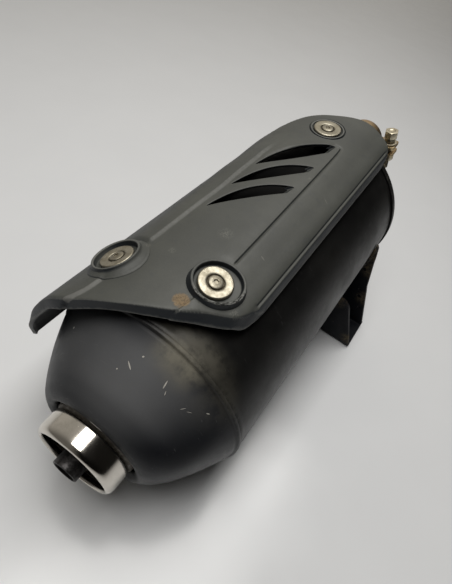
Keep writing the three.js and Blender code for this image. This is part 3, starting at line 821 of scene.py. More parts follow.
def relief_points():
    """Flat points that follow the shield's folds and moulded lines closely."""
    fine = (-1.7, -1.1, -0.75, -0.4, 0, 0.4, 0.75, 1.1, 1.7)
    angles = np.concatenate([np.arange(SHIELD_RIGHT, -15, 0.45), np.arange(-15, SHIELD_LEFT, 1.1)])
    folds = []
    for fold in (REAR_FOLD, NOSE_FOLD):
        for offset in (-3.6, -2.4, -1.5, -0.9, -0.3, 0.3, 0.9, 1.5, 2.4):
            folds.append(np.column_stack([through(fold, angles) + offset, angles * PER_DEGREE]))
    runs = np.arange(46, 240, 1.3)
    for offset in (-4, -3.2, -2.4, -1.6, -1.1, -0.6, -0.2, 0.2, 0.6, 1.1, 1.7):
        folds.append(np.column_stack([runs, np.full(len(runs), (SHIELD_CREASE + 1) * PER_DEGREE + offset)]))
    creases = [along_line(line, fine) for line in (PANEL_CREASE, LEFT_STEP, REAR_STEP, BOSS_CREASE)]
    return thinned(np.vstack([*creases, *folds]), 0.33)


def build_shield():
    """Two skins, joined at the border, in the cups' holes and in the louvres."""
    shape = Shape()
    border = border_pattern(1.4)
    outer, normal, _ = shield_skin(border)
    inner = underside(border)[0]
    drop = outer - normal * 0.45
    edge = [shape.add(outer, 0.7), shape.add(0.86 * drop + 0.14 * inner, 0.8), shape.add(inner, 0.3)]
    shape.strip(edge[0], edge[1])
    shape.strip(edge[1], edge[2])
    openings = [shield_cup(shape, name, station) for name, station in STATIONS.items()]
    openings += [louvre_walls(shape, louvre) for louvre in LOUVRES]
    top_holes, low_holes = zip(*openings)
    filled(shape, (border, edge[0]), top_holes, relief_points(), 1.7, shield_skin)
    filled(shape, (border, edge[2]), low_holes, np.zeros((0, 2)), 3.2, underside)
    return shape.object("heat_shield_skin", sharp=42)


def thinned(points, apart):
    """The points with those too close to an earlier one left out."""
    seen, kept = set(), []
    for p in points:
        cell = (round(p[0] / apart), round(p[1] / apart))
        if cell not in seen:
            seen.add(cell)
            kept.append(p)
    return np.array(kept)

# ---- materials -------------------------------------------------------------------------------

class Finish:
    """A material whose nodes are made by short calls. Lengths given to it are in millimetres."""

    def __init__(self, name, metallic=0.0, specular=0.5):
        self.material = bpy.data.materials.new(name)
        self.material.use_nodes = True
        self.tree = self.material.node_tree
        self.tree.nodes.clear()
        output = self.tree.nodes.new("ShaderNodeOutputMaterial")
        self.shader = self.tree.nodes.new("ShaderNodeBsdfPrincipled")
        self.tree.links.new(self.shader.outputs[0], output.inputs[0])
        self.place = self.tree.nodes.new("ShaderNodeTexCoord").outputs["Object"]
        self.shader.inputs["Metallic"].default_value = metallic
        self.shader.inputs["Specular IOR Level"].default_value = specular
        self.height = None

    def node(self, kind, inputs=(), **settings):
        made = self.tree.nodes.new(kind)
        for key, value in settings.items():
            setattr(made, key, value)
        for key, value in dict(inputs).items():
            self.feed(made.inputs[key], value)
        return made

    def feed(self, socket, value):
        if isinstance(value, bpy.types.NodeSocket):
            self.tree.links.new(value, socket)
        elif isinstance(value, (tuple, list, Vector)) and socket.type == "RGBA" and len(value) == 3:
            socket.default_value = (*value, 1)
        else:
            socket.default_value = value

    def math(self, operation, a, b=0.0, c=0.0, clamp=False):
        made = self.node("ShaderNodeMath", {0: a, 1: b, 2: c}, operation=operation, use_clamp=clamp)
        return made.outputs[0]

    def times(self, a, b):
        return self.math("MULTIPLY", a, b)

    def vector(self, operation, a, b=(0, 0, 0)):
        made = self.node("ShaderNodeVectorMath", {0: a, 1: b}, operation=operation)
        return made.outputs["Value" if operation in ("DOT_PRODUCT", "LENGTH", "DISTANCE") else "Vector"]

    def scaled(self, x, y, z):
        """Places scaled by an amount along each axis, to draw a pattern out."""
        return self.vector("MULTIPLY", self.place, (x, y, z))

    def noise(self, size, detail=4.0, roughness=0.5, distortion=0.0, at=None):
        """Cloudy noise, its largest features about size across."""
        made = self.node("ShaderNodeTexNoise", {
            "Vector": self.place if at is None else at, "Scale": 1 / (size * MM), "Detail": detail,
            "Roughness": roughness, "Distortion": distortion})
        return made.outputs["Fac"]

    def cells(self, size, feature="F1", at=None, randomness=1.0):
        made = self.node("ShaderNodeTexVoronoi", {
            "Vector": self.place if at is None else at, "Scale": 1 / (size * MM),
            "Randomness": randomness}, feature=feature)
        return made.outputs["Distance"]

    def span(self, value, low, high, to_low=0.0, to_high=1.0):
        """value eased from to_low at low to to_high at high."""
        made = self.node("ShaderNodeMapRange", {
            "Value": value, "From Min": low, "From Max": high, "To Min": to_low, "To Max": to_high},
            interpolation_type="SMOOTHSTEP")
        return made.outputs["Result"]

    def mix(self, a, b, share):
        made = self.tree.nodes.new("ShaderNodeMix")
        made.data_type = "RGBA"
        self.feed(made.inputs[0], share)
        self.feed(made.inputs[6], a)
        self.feed(made.inputs[7], b)
        return made.outputs[2]

    def wear_and_highlight(self):
        return self.node("ShaderNodeAttribute", attribute_name="wear_and_highlight").outputs["Fac"]

    def near(self, point, inner, outer):
        """1 within inner of a place on the table, and 0 beyond outer."""
        away = self.vector("DISTANCE", self.place, tuple(point))
        return self.span(away, inner * MM, outer * MM, 1.0, 0.0)

    def scratch(self, start, end, width):
        """1 along a thin straight scratch between two places, tapering at its ends."""
        start, end = Vector(start), Vector(end)
        run = end - start
        offset = self.vector("SUBTRACT", self.place, tuple(start))
        along = self.vector("DOT_PRODUCT", offset, tuple(run / run.length_squared))
        held = self.math("MULTIPLY", along, 1.0, clamp=True)
        nearest = self.node("ShaderNodeVectorMath", {0: tuple(run), "Scale": held}, operation="SCALE")
        away = self.vector("DISTANCE", offset, nearest.outputs["Vector"])
        taper = self.times(self.times(held, self.math("SUBTRACT", 1.0, held)), 4.0)
        reach = self.math("MULTIPLY_ADD", taper, width * MM, 0.04 * MM)
        return self.math("LESS_THAN", away, reach)

    def upward(self, low, high):
        """1 on faces that look up and 0 on faces that look sideways or down, for painting shade and sheen by
        the way a face looks.
        """
        normal = self.tree.nodes.new("ShaderNodeNewGeometry").outputs["Normal"]
        parts = self.node("ShaderNodeSeparateXYZ", {0: normal})
        return self.span(parts.outputs["Z"], low, high)

    def raise_by(self, value, millimetres):
        """Adds a relief, in millimetres, to the bump."""
        step = self.times(value, millimetres * MM)
        self.height = step if self.height is None else self.math("ADD", self.height, step)

    def done(self, color, roughness):
        self.feed(self.shader.inputs["Base Color"], color)
        self.feed(self.shader.inputs["Roughness"], roughness)
        if self.height is not None:
            bump = self.node("ShaderNodeBump", {"Height": self.height, "Strength": 1.0, "Distance": 1.0})
            self.tree.links.new(bump.outputs["Normal"], self.shader.inputs["Normal"])
        return self.material


def any_of(finish, masks):
    total = masks[0]
    for mask in masks[1:]:
        total = finish.math("MAXIMUM", total, mask)
    return total


def shield_plastic():
    """Black moulded plastic gone grey: fine grain, scuffs, chipped edges and one rust stain, with painted
    shade on the faces that look sideways or down and painted highlights along its moulded lines.
    """
    f = Finish("shield_plastic", specular=0.55)
    up = f.upward(0.42, 0.90)
    cloud = f.noise(60, detail=5, roughness=0.6)
    mottle = f.noise(7, detail=6, roughness=0.65)
    base = f.mix((0.047, 0.049, 0.043), (0.062, 0.064, 0.055), f.span(cloud, 0.35, 0.68))
    base = f.mix(base, (0.038, 0.041, 0.041), f.span(mottle, 0.50, 0.75, 0.0, 0.5))
    # Faces that look sideways or down are painted near-black: painted shade where the lamp above doesn't
    # reach.
    base = f.mix((0.009, 0.012, 0.016), base, up)
    wear_and_highlight = f.wear_and_highlight()
    # Rubbed folds and edges are greyed here, and so are the crease's lip and the steps' bands, which are
    # painted highlights.
    rubbed = f.math("MULTIPLY_ADD", f.noise(2.2, detail=6, roughness=0.7), 0.5, f.times(wear_and_highlight, 0.8))
    rubbed = f.span(rubbed, 0.42, 1.0)
    base = f.mix(base, (0.15, 0.15, 0.14), f.times(rubbed, 0.8))
    marks = [f.scratch(on_can(x0, a0, 82.2), on_can(x1, a1, 82.2), width) for x0, a0, x1, a1, width in SCUFFS]
    patches = [f.times(f.near(on_can(x, a, 82), 0.5, size),
                       f.span(f.noise(1.5, detail=5, at=f.scaled(1, 3, 1)), 0.45, 0.6))
               for x, a, size in SCUFF_PATCHES]
    scuffs = f.times(any_of(f, marks + patches), 0.35)
    base = f.mix(base, (0.20, 0.20, 0.17), scuffs)
    hairs = f.span(f.noise(1.1, detail=3, roughness=0.8, at=f.scaled(0.06, 1, 1)), 0.66, 0.74, 0.0, 0.35)
    base = f.mix(base, (0.085, 0.085, 0.078), hairs)
    rust = f.near(on_can(15, -6.2, 82), 2.0, 6.5)
    rust = f.times(rust, f.span(f.noise(3.2, detail=6, roughness=0.7), 0.26, 0.52))
    blotch = f.span(f.noise(1.2, detail=5, roughness=0.7), 0.4, 0.65)
    stain = f.mix((0.21, 0.145, 0.075), (0.10, 0.068, 0.035), blotch)
    base = f.mix(base, stain, f.span(rust, 0.15, 0.55, 0.0, 0.95))
    f.raise_by(f.noise(0.55, detail=3, roughness=0.6), 0.05)
    f.raise_by(f.noise(2.4, detail=4), 0.07)
    f.raise_by(f.times(wear_and_highlight, f.noise(0.9, detail=5, roughness=0.8)), 0.22)
    f.raise_by(scuffs, -0.05)
    rough = f.math("ADD", f.span(f.noise(18, detail=6, roughness=0.7), 0.3, 0.7, 0.50, 0.60),
                   f.times(rust, 0.25))
    return f.done(base, rough)


def can_paint():
    """Satin heat-proof black, dusted brown by the seam, with bright scratches and specks; on the dome a
    painted sheen on its top and a painted highlight.
    """
    f = Finish("can_paint", specular=0.24)
    up = f.upward(0.30, 0.80)
    seam_x = f.math("SUBTRACT", f.vector("DOT_PRODUCT", f.place, tuple(ALONG)), ALONG.dot(on_table(0, 0, 0)))
    base = f.mix((0.0034, 0.0034, 0.0035), (0.0062, 0.0061, 0.0058), f.noise(25, detail=6, roughness=0.6))
    base = f.mix(base, (0.0024, 0.0034, 0.0066), f.span(seam_x, -0.008, 0.004, 1.0, 0.0))
    # The dome's upward faces are painted lighter: a painted sheen of the lamp above, with some fading of the
    # paint.
    sheen_and_fading = f.mix((0.056, 0.057, 0.061), (0.086, 0.088, 0.091), f.noise(30, detail=6, roughness=0.65))
    base = f.mix(base, sheen_and_fading, f.times(up, f.span(seam_x, -0.016, -0.001, 1.0, 0.0)))
    # A soft pale patch on the dome's lit side: a painted highlight for the lamp's broad sheen there.
    haze = f.times(f.near(on_can(-40, -12, 59), 6, 42), 0.36)
    base = f.mix(base, (0.180, 0.182, 0.188), haze)
    at_seam = f.times(f.span(seam_x, -0.034, -0.003), f.span(seam_x, 0.006, 0.022, 1.0, 0.0))
    blots = [f.near(on_can(-5, -18, 68), 2, 17), f.near(on_can(-5, -25, 68), 2, 19),
             f.times(f.near(on_can(9, -24, 70), 4, 34), 0.45),
             f.times(f.near(on_can(-4, -46, 68), 2, 28), 0.2)]
    dusty = f.times(at_seam, any_of(f, blots))
    smear = f.noise(10, detail=6, roughness=0.62)
    dust = f.times(dusty, f.span(smear, 0.26, 0.60, 0.28, 1.0))
    base = f.mix(base, (0.185, 0.172, 0.135), f.times(dust, 0.85))
    film = f.span(f.noise(40, detail=5, roughness=0.6), 0.4, 0.75, 0.0, 0.12)
    base = f.mix(base, (0.05, 0.048, 0.043), film)
    rubbed = f.times(f.wear_and_highlight(), f.span(f.noise(3.5, detail=6, roughness=0.7), 0.46, 0.66, 0.0, 0.8))
    grey = f.mix(base, (0.075, 0.072, 0.062), rubbed)
    cuts = any_of(f, [f.scratch(on_can(x0, a0, r0), on_can(x1, a1, r1), width)
                      for x0, a0, r0, x1, a1, r1, width in SCRATCHES])
    specks = f.times(f.span(f.cells(15), 0.0, 0.035, 1.0, 0.0),
                     f.span(f.noise(30), 0.50, 0.56))
    bright = f.math("MAXIMUM", cuts, specks)
    swirl = f.span(f.noise(1.3, detail=2, roughness=0.8, at=f.scaled(1, 0.08, 0.2)), 0.62, 0.75)
    brushed = f.times(swirl, f.span(f.noise(24), 0.45, 0.62, 0.0, 0.22))
    grey = f.mix(grey, (0.15, 0.15, 0.15), brushed)
    color = f.mix(grey, (0.52, 0.50, 0.45), f.times(bright, 0.8))
    f.raise_by(f.noise(0.9, detail=4, roughness=0.6), 0.020)
    f.raise_by(f.noise(14, detail=3), 0.10)
    f.raise_by(f.times(dust, smear), 0.06)
    f.raise_by(bright, -0.06)
    sheltered = f.near(on_can(-34, -52, 60), 14, 44)
    below = f.near(on_can(140, 8, 70), 34, 60)
    dull = f.math("MAXIMUM", sheltered, below)
    f.feed(f.shader.inputs["Specular IOR Level"], f.span(dull, 0.0, 1.0, 0.24, 0.07))
    rough = f.span(f.noise(22, detail=7, roughness=0.7), 0.3, 0.7, 0.34, 0.46)
    rough = f.math("ADD", rough, f.times(dust, 0.28))
    rough = f.math("SUBTRACT", rough, f.times(swirl, 0.07))
    return f.done(color, rough)


def bracket_paint():
    """Thin matt black over pressed steel, rusting at the welds and along its cut edges."""
    f = Finish("bracket_paint", specular=0.16)
    base = f.mix((0.0020, 0.0026, 0.0048), (0.0085, 0.0095, 0.0120), f.noise(14, detail=6, roughness=0.65))
    rusty = any_of(f, [f.near(on_table(*spot), 2, size) for *spot, size in RUSTY])
    wear_and_highlight = f.times(rusty, f.span(f.noise(3.0, detail=7, roughness=0.72), 0.36, 0.60))
    color = f.mix(base, (0.095, 0.075, 0.046), f.times(wear_and_highlight, 0.85))
    pits = any_of(f, [f.near(on_table(*spot), size * 0.6, size) for *spot, size in DARK_SPOTS])
    color = f.mix(color, (0.002, 0.002, 0.003), pits)
    spots = f.times(f.span(f.cells(7), 0.0, 0.14, 1.0, 0.0), f.span(f.noise(20), 0.5, 0.6))
    color = f.mix(color, (0.12, 0.065, 0.03), f.times(spots, 0.6))
    f.raise_by(pits, -0.4)
    f.raise_by(f.noise(1.2, detail=5, roughness=0.65), 0.05)
    f.raise_by(wear_and_highlight, 0.05)
    rough = f.math("ADD", f.span(f.noise(8, detail=6), 0.3, 0.7, 0.42, 0.58), f.times(wear_and_highlight, 0.25))
    return f.done(color, rough)


def tip_chrome():
    """Mirror chrome with a little haze, tiny pits and soot at its lip."""
    f = Finish("tip_chrome", metallic=1.0)
    haze = f.noise(11, detail=6, roughness=0.65)
    base = f.mix((0.70, 0.66, 0.60), (0.58, 0.55, 0.49), f.span(haze, 0.42, 0.72))
    pits = f.times(f.span(f.cells(2.4), 0.0, 0.10, 1.0, 0.0), f.span(f.noise(9), 0.52, 0.60))
    soot = f.times(f.wear_and_highlight(), f.span(f.noise(4, detail=6, roughness=0.7), 0.25, 0.6, 0.75, 1.0))
    color = f.mix(base, (0.10, 0.085, 0.065), f.times(pits, 0.8))
    color = f.mix(color, (0.012, 0.011, 0.010), soot)
    f.raise_by(pits, -0.05)
    f.raise_by(f.noise(16, detail=2), 0.03)
    rough = f.math("ADD", f.span(haze, 0.35, 0.75, 0.12, 0.19), f.times(soot, 0.5))
    return f.done(color, rough)


def worn_steel(name, light, dark, grime, roughness, pit_size=1.6, pit_share=0.8, grain=0.02,
               metallic=1.0):
    """Bare steel gone dull: cloudy tone, pits, and grime where the wear value is high."""
    f = Finish(name, metallic=metallic)
    tone = f.noise(5, detail=7, roughness=0.7)
    base = f.mix(light, dark, f.span(tone, 0.36, 0.66))
    pits = f.times(f.span(f.cells(pit_size), 0.0, 0.24, 1.0, 0.0),
                   f.span(f.noise(4.5), 0.44, 0.56))
    color = f.mix(base, grime, f.times(pits, pit_share))
    dirty = f.times(f.wear_and_highlight(), f.span(f.noise(1.8, detail=6, roughness=0.7), 0.28, 0.58, 0.35, 1.0))
    color = f.mix(color, grime, dirty)
    f.raise_by(pits, -0.07)
    f.raise_by(f.noise(0.7, detail=5, roughness=0.7), grain)
    rough = f.math("ADD", f.span(tone, 0.3, 0.7, roughness - 0.07, roughness + 0.09),
                   f.times(dirty, 0.25))
    return f.done(color, rough)


def straw_steel():
    """Steel coloured by heat: straw, with brown and faint violet bands, and a dull scale."""
    f = Finish("straw_steel", metallic=1.0)
    along = f.math("SUBTRACT", f.vector("DOT_PRODUCT", f.place, tuple(ALONG)), ALONG.dot(on_table(250, 0, 0)))
    wander = f.math("MULTIPLY_ADD", f.noise(12, detail=5), 0.012, along)
    base = f.mix((0.62, 0.52, 0.33), (0.50, 0.36, 0.20), f.span(wander, 0.018, 0.034))
    base = f.mix(base, (0.40, 0.30, 0.27), f.span(wander, 0.032, 0.042, 0.0, 0.7))
    scale = f.span(f.noise(3.5, detail=7, roughness=0.72), 0.48, 0.68)
    color = f.mix(base, (0.20, 0.145, 0.085), f.times(scale, 0.6))
    dirty = f.times(f.wear_and_highlight(), f.span(f.noise(1.8, detail=6), 0.3, 0.6, 0.3, 1.0))
    color = f.mix(color, (0.10, 0.075, 0.05), dirty)
    f.raise_by(f.noise(1.0, detail=6, roughness=0.7), 0.035)
    return f.done(color, f.math("ADD", f.span(scale, 0.0, 1.0, 0.40, 0.58), f.times(dirty, 0.15)))


def inner_steel():
    """Plain pressed steel inside the can, brown with heat."""
    f = Finish("inner_steel", metallic=1.0)
    tone = f.noise(12, detail=7, roughness=0.7)
    color = f.mix((0.36, 0.32, 0.27), (0.17, 0.13, 0.10), f.span(tone, 0.35, 0.68))
    f.raise_by(f.noise(1.2, detail=5), 0.04)
    return f.done(color, f.span(tone, 0.3, 0.7, 0.38, 0.58))


def ceramic():
    """Matt heat insulation and catalyst brick, chalky and stained."""
    f = Finish("ceramic", specular=0.3)
    tone = f.noise(4, detail=7, roughness=0.7)
    color = f.mix((0.50, 0.45, 0.37), (0.30, 0.25, 0.19), f.span(tone, 0.38, 0.7))
    f.raise_by(f.noise(0.6, detail=5, roughness=0.75), 0.06)
    return f.done(color, f.span(tone, 0.3, 0.7, 0.78, 0.95))


def graphite():
    """Pressed graphite and wire of the inlet's gasket."""
    f = Finish("graphite", specular=0.5)
    weave = f.cells(1.3, at=f.scaled(1, 1.6, 1.6))
    color = f.mix((0.050, 0.050, 0.052), (0.19, 0.18, 0.165), f.span(weave, 0.30, 0.62, 0.0, 0.6))
    f.raise_by(weave, 0.16)
    return f.done(color, f.span(f.noise(3, detail=5), 0.3, 0.7, 0.50, 0.72))


def dark_steel():
    return worn_steel("neck_steel", (0.27, 0.25, 0.22), (0.13, 0.12, 0.10), (0.05, 0.042, 0.032), 0.46,
                      metallic=0.45)


def pipe_steel():
    return worn_steel("pipe_steel", (0.12, 0.115, 0.115), (0.035, 0.034, 0.033), (0.006, 0.005, 0.005), 0.46)


def shield_hardware():
    return worn_steel("shield_hardware", (0.42, 0.39, 0.315), (0.29, 0.262, 0.20), (0.075, 0.06, 0.042), 0.43,
                      pit_size=1.1, pit_share=0.75, grain=0.03)


def clamp_hardware():
    return worn_steel("clamp_hardware", (0.66, 0.60, 0.46), (0.40, 0.35, 0.26), (0.10, 0.08, 0.055), 0.42,
                      pit_size=1.3, pit_share=0.8, grain=0.04)

# ---- the can ---------------------------------------------------------------------------------

def joined(name, parts, sharp=40):
    """Several objects made into one."""
    work = bmesh.new()
    for part in parts:
        work.from_mesh(part.data)
        bpy.data.objects.remove(part)
    mesh = bpy.data.meshes.new(name)
    work.to_mesh(mesh)
    work.free()
    made = bpy.data.objects.new(name, mesh)
    bpy.context.scene.collection.objects.link(made)
    finish_shading(made, sharp)
    return made


def arc_on_can(x, first, last, radius, step=1.2):
    """Points round the can at one x, between two angles from its top."""
    turn = np.radians(np.arange(first, last, step))
    return np.column_stack([np.full(len(turn), x), radius * np.sin(turn), radius * np.cos(turn)])


def build_barrel():
    """Rolled sheet, its ends swaged, with its long weld underneath."""
    end = BARREL_LENGTH
    outer = [(GAP, 69.55), (GAP + 0.5, 69.95), (3.2, 70.0), (4.2, 69.88), (6.0, 69.88), (7.2, 70.0),
             (40, 70.0), (90, 70.0), (140, 70.0), (190, 70.0), (end - 10, 70.0), (end - 8, 69.9),
             (end - 0.5, 69.9), (end, 69.5)]
    inner = [(end, 68.6), (end - 1, CAN_RADIUS - CAN_WALL), (1.2, CAN_RADIUS - CAN_WALL), (GAP, 68.7)]
    wears = [0.8, 0.5, 0.1] + [0.0] * (len(outer) + len(inner) - 3)
    shell = revolved(outer + inner, 256, wears=wears).object("barrel")
    seam = math.radians(150)
    path = [(x, 70.0 * math.sin(seam), 70.0 * math.cos(seam)) for x in np.arange(9, end - 12, 0.8)]
    weld = weld_bead("long_weld", path, 0.62, 5.0, ripple=0.25, pitch=1.6)
    return joined("barrel", [shell, weld])


def build_dome():
    """Spun tail: a bell that turns in round the outlet, and a bead rolled at the seam."""
    seam = [(-0.1, 70.05), (0.0, 70.45), (-0.5, 70.6), (-1.7, 70.6), (-2.3, 70.35), (-2.55, 69.8),
            (-2.8, 69.1), (-3.3, 68.7), (-4.0, 68.6)]
    bell = spline([(-4.0, 68.55), (-5.2, 68.15), (-9.5, 66.2), (-16, 62.9), (-24, 58.5), (-32, 53.5),
                   (-38, 49.3), (-42, 45.9), (-45.4, 42.6), (-47.6, 39.6), (-48.9, 36.9)], 6)[1:]
    lip = spline([(-48.9, 36.9), (-49.2, 35.4), (-48.7, 33.6), (-47.3, 32.0), (-45.8, 31.1),
                  (-44.6, 31.2), (-44.5, 32.3), (-45.6, 33.6), (-46.3, 35.0), (-46.3, 36.6)], 5)[1:]
    inside = spline([(-46.3, 36.6), (-44.2, 39.9), (-41, 43.6), (-31.4, 51.4), (-15, 61.2), (-4, 67.0),
                     (-0.1, 68.7)], 5)[1:]
    profile = [*seam, *map(tuple, bell), *map(tuple, lip), *map(tuple, inside)]
    rings, wears = [], []
    for x, radius in profile:
        share = 1 - float(smoothstep(radius, 33.5, 52))
        share = share if x < -30 else 0.0
        rings.append(circle(radius, 256, x, (TIP_CENTRE[0] * share, TIP_CENTRE[1] * share)))
        wears.append(0.35 if -2.4 < x < 0 and radius > 69 else 0.4 if x < -48.3 and radius > 33 else 0.0)
    shape = Shape()
    shape.tube(rings, wears, closed=True)
    return shape.object("tail_dome", sharp=50)


def build_cap():
    """Dished front plate, rolled over the end of the barrel."""
    end = BARREL_LENGTH
    rim = spline([(end - 1.1, 70.45), (end - 1.2, 70.8), (end - 0.8, 71.15), (end + 0.6, 71.2),
                  (end + 2.6, 71.2), (end + 4.2, 70.7), (end + 5.2, 69.4), (end + 5.3, 67.9),
                  (end + 4.6, 66.4)], 4)
    face = spline([(end + 4.6, 66.4), (end + 4.7, 64), (end + 6.2, 57), (end + 8, 49), (end + 9.2, 30),
                   (end + 9.8, 14)], 6)[1:]
    back = spline([(end + 8.3, 14), (end + 7.7, 30), (end + 6.4, 49), (end + 3.4, 60), (end + 0.6, 66.2),
                   (end + GAP, 68.5)], 4)
    profile = [(end + 10, 0.0), *map(tuple, face[::-1]), *map(tuple, rim[::-1]), (end - 1.05, 70.32),
               (end + GAP, 70.32), *map(tuple, back[::-1]), (end + 8.5, 0.0)]
    wears = [0.5 if radius > 70.9 else 0.0 for _, radius in profile]
    plate = revolved(profile, 192, wears=wears).object("front_cap")
    bore = prism(plane_circle(INLET_PIPE_RADIUS + GAP, 96, INLET_CENTRE), end - 5, end + 20, "X")
    plate = combine(plate, [bore.object("bore")])
    ring = circle(INLET_PIPE_RADIUS + 1.5, 150, 0, INLET_CENTRE)
    away = np.hypot(ring[:, 1], ring[:, 2])
    ring[:, 0] = end + 4.6 + np.interp(away, [14, 30, 49, 57, 64, 66.4], [5.2, 4.6, 3.4, 1.6, 0.1, 0.0]) + 0.5
    weld = weld_bead("inlet_weld", ring, 1.25, 11.0, closed=True, ripple=0.3, pitch=2.4)
    return joined("front_cap", [plate, weld])


# ---- the outlet ------------------------------------------------------------------------------

def build_tip():
    """Chrome ring: swelling from its back edge, and curled in at a bright lip."""
    outside = spline([(-49.7, 27.2), (-49.72, 28.2), (-50.1, 28.68), (-51.4, 28.78), (-55.0, 28.8),
                      (-59.0, 28.78), (-61.6, 28.62), (-63.5, 28.1), (-64.8, 27.2), (-65.55, 26.1),
                      (-65.4, 25.0), (-64.2, 24.35), (-63.2, 24.8), (-62.2, 25.9), (-60.6, 26.8),
                      (-56.5, 27.2), (-52.6, 26.9), (-50.4, 26.4)], 6, closed=True)
    wears = [float(smoothstep(-x, 49, 60)) if radius < 26.9 and x > -63 else
             0.35 * float(smoothstep(radius, 25.1, 24.3)) if x < -63 else 0.0 for x, radius in outside]
    return revolved([tuple(p) for p in outside], 256, TIP_CENTRE, wears).object("chrome_tip", sharp=60)


def build_neck():
    profile = [(-30, 27.9), (-30.3, 29.2), (-31, 29.4), (-44.8, 29.4), (-46.9, 29.2), (-48.6, 28.2),
               (-49.3, 26.9), (-49.4, 25.9), (-49.8, 25.62), (-56.4, 25.6), (-57, 25.2), (-56.9, 24.3),
               (-56, 24.2), (-49.2, 24.2), (-48.1, 24.6), (-47.4, 26.6), (-46.2, 27.8), (-45, 27.9)]
    wears = [0.9 if x < -48 else 0.3 for x, _ in profile]
    return revolved(profile, 192, TIP_CENTRE, wears).object("outlet_neck")


def build_end_plate():
    hold = OUTLET_PIPE_RADIUS + GAP
    profile = [(-38, hold + 1.0), (-37.7, hold + 0.25), (-37, hold), (-31.3, hold), (-31, hold + 0.3),
               (-31.1, hold + 1.5), (-31.5, hold + 1.6), (-35.6, hold + 1.7), (-36.3, hold + 2.5),
               (-36.4, hold + 3.4), (-36.3, 17), (-35.6, 22), (-36.3, 26.6), (-36.5, 27.6), (-37.9, 27.6),
               (-37.8, 26.6), (-37.1, 22), (-37.8, 17), (-38, hold + 3)]
    return revolved(profile, 160, TIP_CENTRE, [0.9] * len(profile)).object("outlet_end_plate")


def build_outlet_pipe():
    bore = OUTLET_PIPE_RADIUS - OUTLET_PIPE_WALL
    start, end = OUTLET_PIPE_FROM, OUTLET_PIPE_TO
    profile = [(start + 0.5, OUTLET_PIPE_RADIUS), (start + 0.1, OUTLET_PIPE_RADIUS - 0.2),
               (start, OUTLET_PIPE_RADIUS - 0.5), (start, bore + 0.35), (start + 0.3, bore), (-40, bore),
               (0, bore), (end, bore), (end, OUTLET_PIPE_RADIUS), (0, OUTLET_PIPE_RADIUS),
               (-40, OUTLET_PIPE_RADIUS), (start + 3, OUTLET_PIPE_RADIUS)]
    wears = [0.15, 0.0, 0.0, 0.1, 0.9, 1, 1, 1, 0.8, 0.8, 0.9, 0.5]
    return revolved(profile, 128, TIP_CENTRE, wears).object("outlet_pipe", sharp=50)


# ---- the inlet -------------------------------------------------------------------------------

def build_inlet_pipe():
    bore, outer = INLET_PIPE_RADIUS - INLET_PIPE_WALL, INLET_PIPE_RADIUS
    profile = [(INLET_PIPE_FROM, bore + 0.3), (INLET_PIPE_FROM, outer - 0.3), (INLET_PIPE_FROM + 0.4, outer)]
    profile += [(x, outer - 0.10 * math.exp(-((x - 262) / 2.5)**2)) for x in np.arange(240, 281.6, 1.2)]
    profile += [(282.5, outer), (283, outer - 0.4), (283, bore + 0.3), (282.6, bore), (262, bore),
                (240, bore)]
    wears = [0.6 if radius < outer - 0.2 or x > 282 else 0.1 for x, radius in profile]
    return revolved(profile, 128, INLET_CENTRE, wears).object("inlet_pipe", sharp=50)


def build_gasket():
    outer = INLET_PIPE_RADIUS - INLET_PIPE_WALL - GAP
    inner, end = outer - 1.5, INLET_PIPE_TO - 0.6
    profile = [(262, inner), (262, outer), (end - 0.8, outer), (end - 0.2, outer - 0.3), (end, outer - 0.75),
               (end - 0.2, inner + 0.3), (end - 0.8, inner)]
    return revolved(profile, 96, INLET_CENTRE).object("inlet_gasket", sharp=60)


# ---- fasteners of the shield -----------------------------------------------------------------

def station_matrix(station):
    """Z up through a station's screw, from the can's axis."""
    return (Matrix.Translation((station["x"], 0, 0))
            @ Matrix.Rotation(-math.radians(station["angle"]), 4, "X")
            @ Matrix.Rotation(math.radians(station["spin"]), 4, "Z"))


def build_washer(name, station):
    low = station["seat"] + GAP
    section = [(3.7, 0), (10.2, 0), (10.55, 0.4), (10.6, 1.1), (10.42, 1.65), (10.0, 1.93), (9.5, 2.0),
               (8.2, 1.95), (6.6, 1.88), (5.7, 1.8), (5.25, 1.5), (5.1, 1.1), (5.0, 0.9), (3.7, 0.9)]
    profile = [(radius, low + height) for radius, height in section]
    wears = [0.8, 0.5, 0.3, 0.2, 0, 0, 0, 0, 0, 0.1, 0.35, 0.8, 1, 1]
    return revolved_up(profile, 96, wears).object(name, station_matrix(station), sharp=50)


def build_screw(name, station):
    """Button head with a hexagon socket, sunk in the washer."""
    low = station["seat"] + GAP + 1.1
    head = [(3.0, 0), (4.2, 0), (4.45, 0.25), (4.45, 0.5), (4.3, 0.75), (3.9, 0.95), (3.2, 1.12),
            (2.6, 1.25), (2.0, 1.3), (0, 1.3)]
    profile = [(0, 71.2), (2.6, 71.2), (3.0, 71.8)]
    profile += [(radius, low + height) for radius, height in head]
    wears = [1, 1, 1, 1, 1, 0.9, 0.6, 0.3, 0.1, 0.1, 0.3, 0.6, 0.8]
    screw = revolved_up(profile, 64, wears).object(name, station_matrix(station))
    socket = prism(hexagon(2.9), low + 0.2, low + 6).object("socket", station_matrix(station))
    screw = bevelled(combine(screw, [socket]), 0.1, 2, 50, 50)
    return screw


# ---- the bracket -----------------------------------------------------------------------------

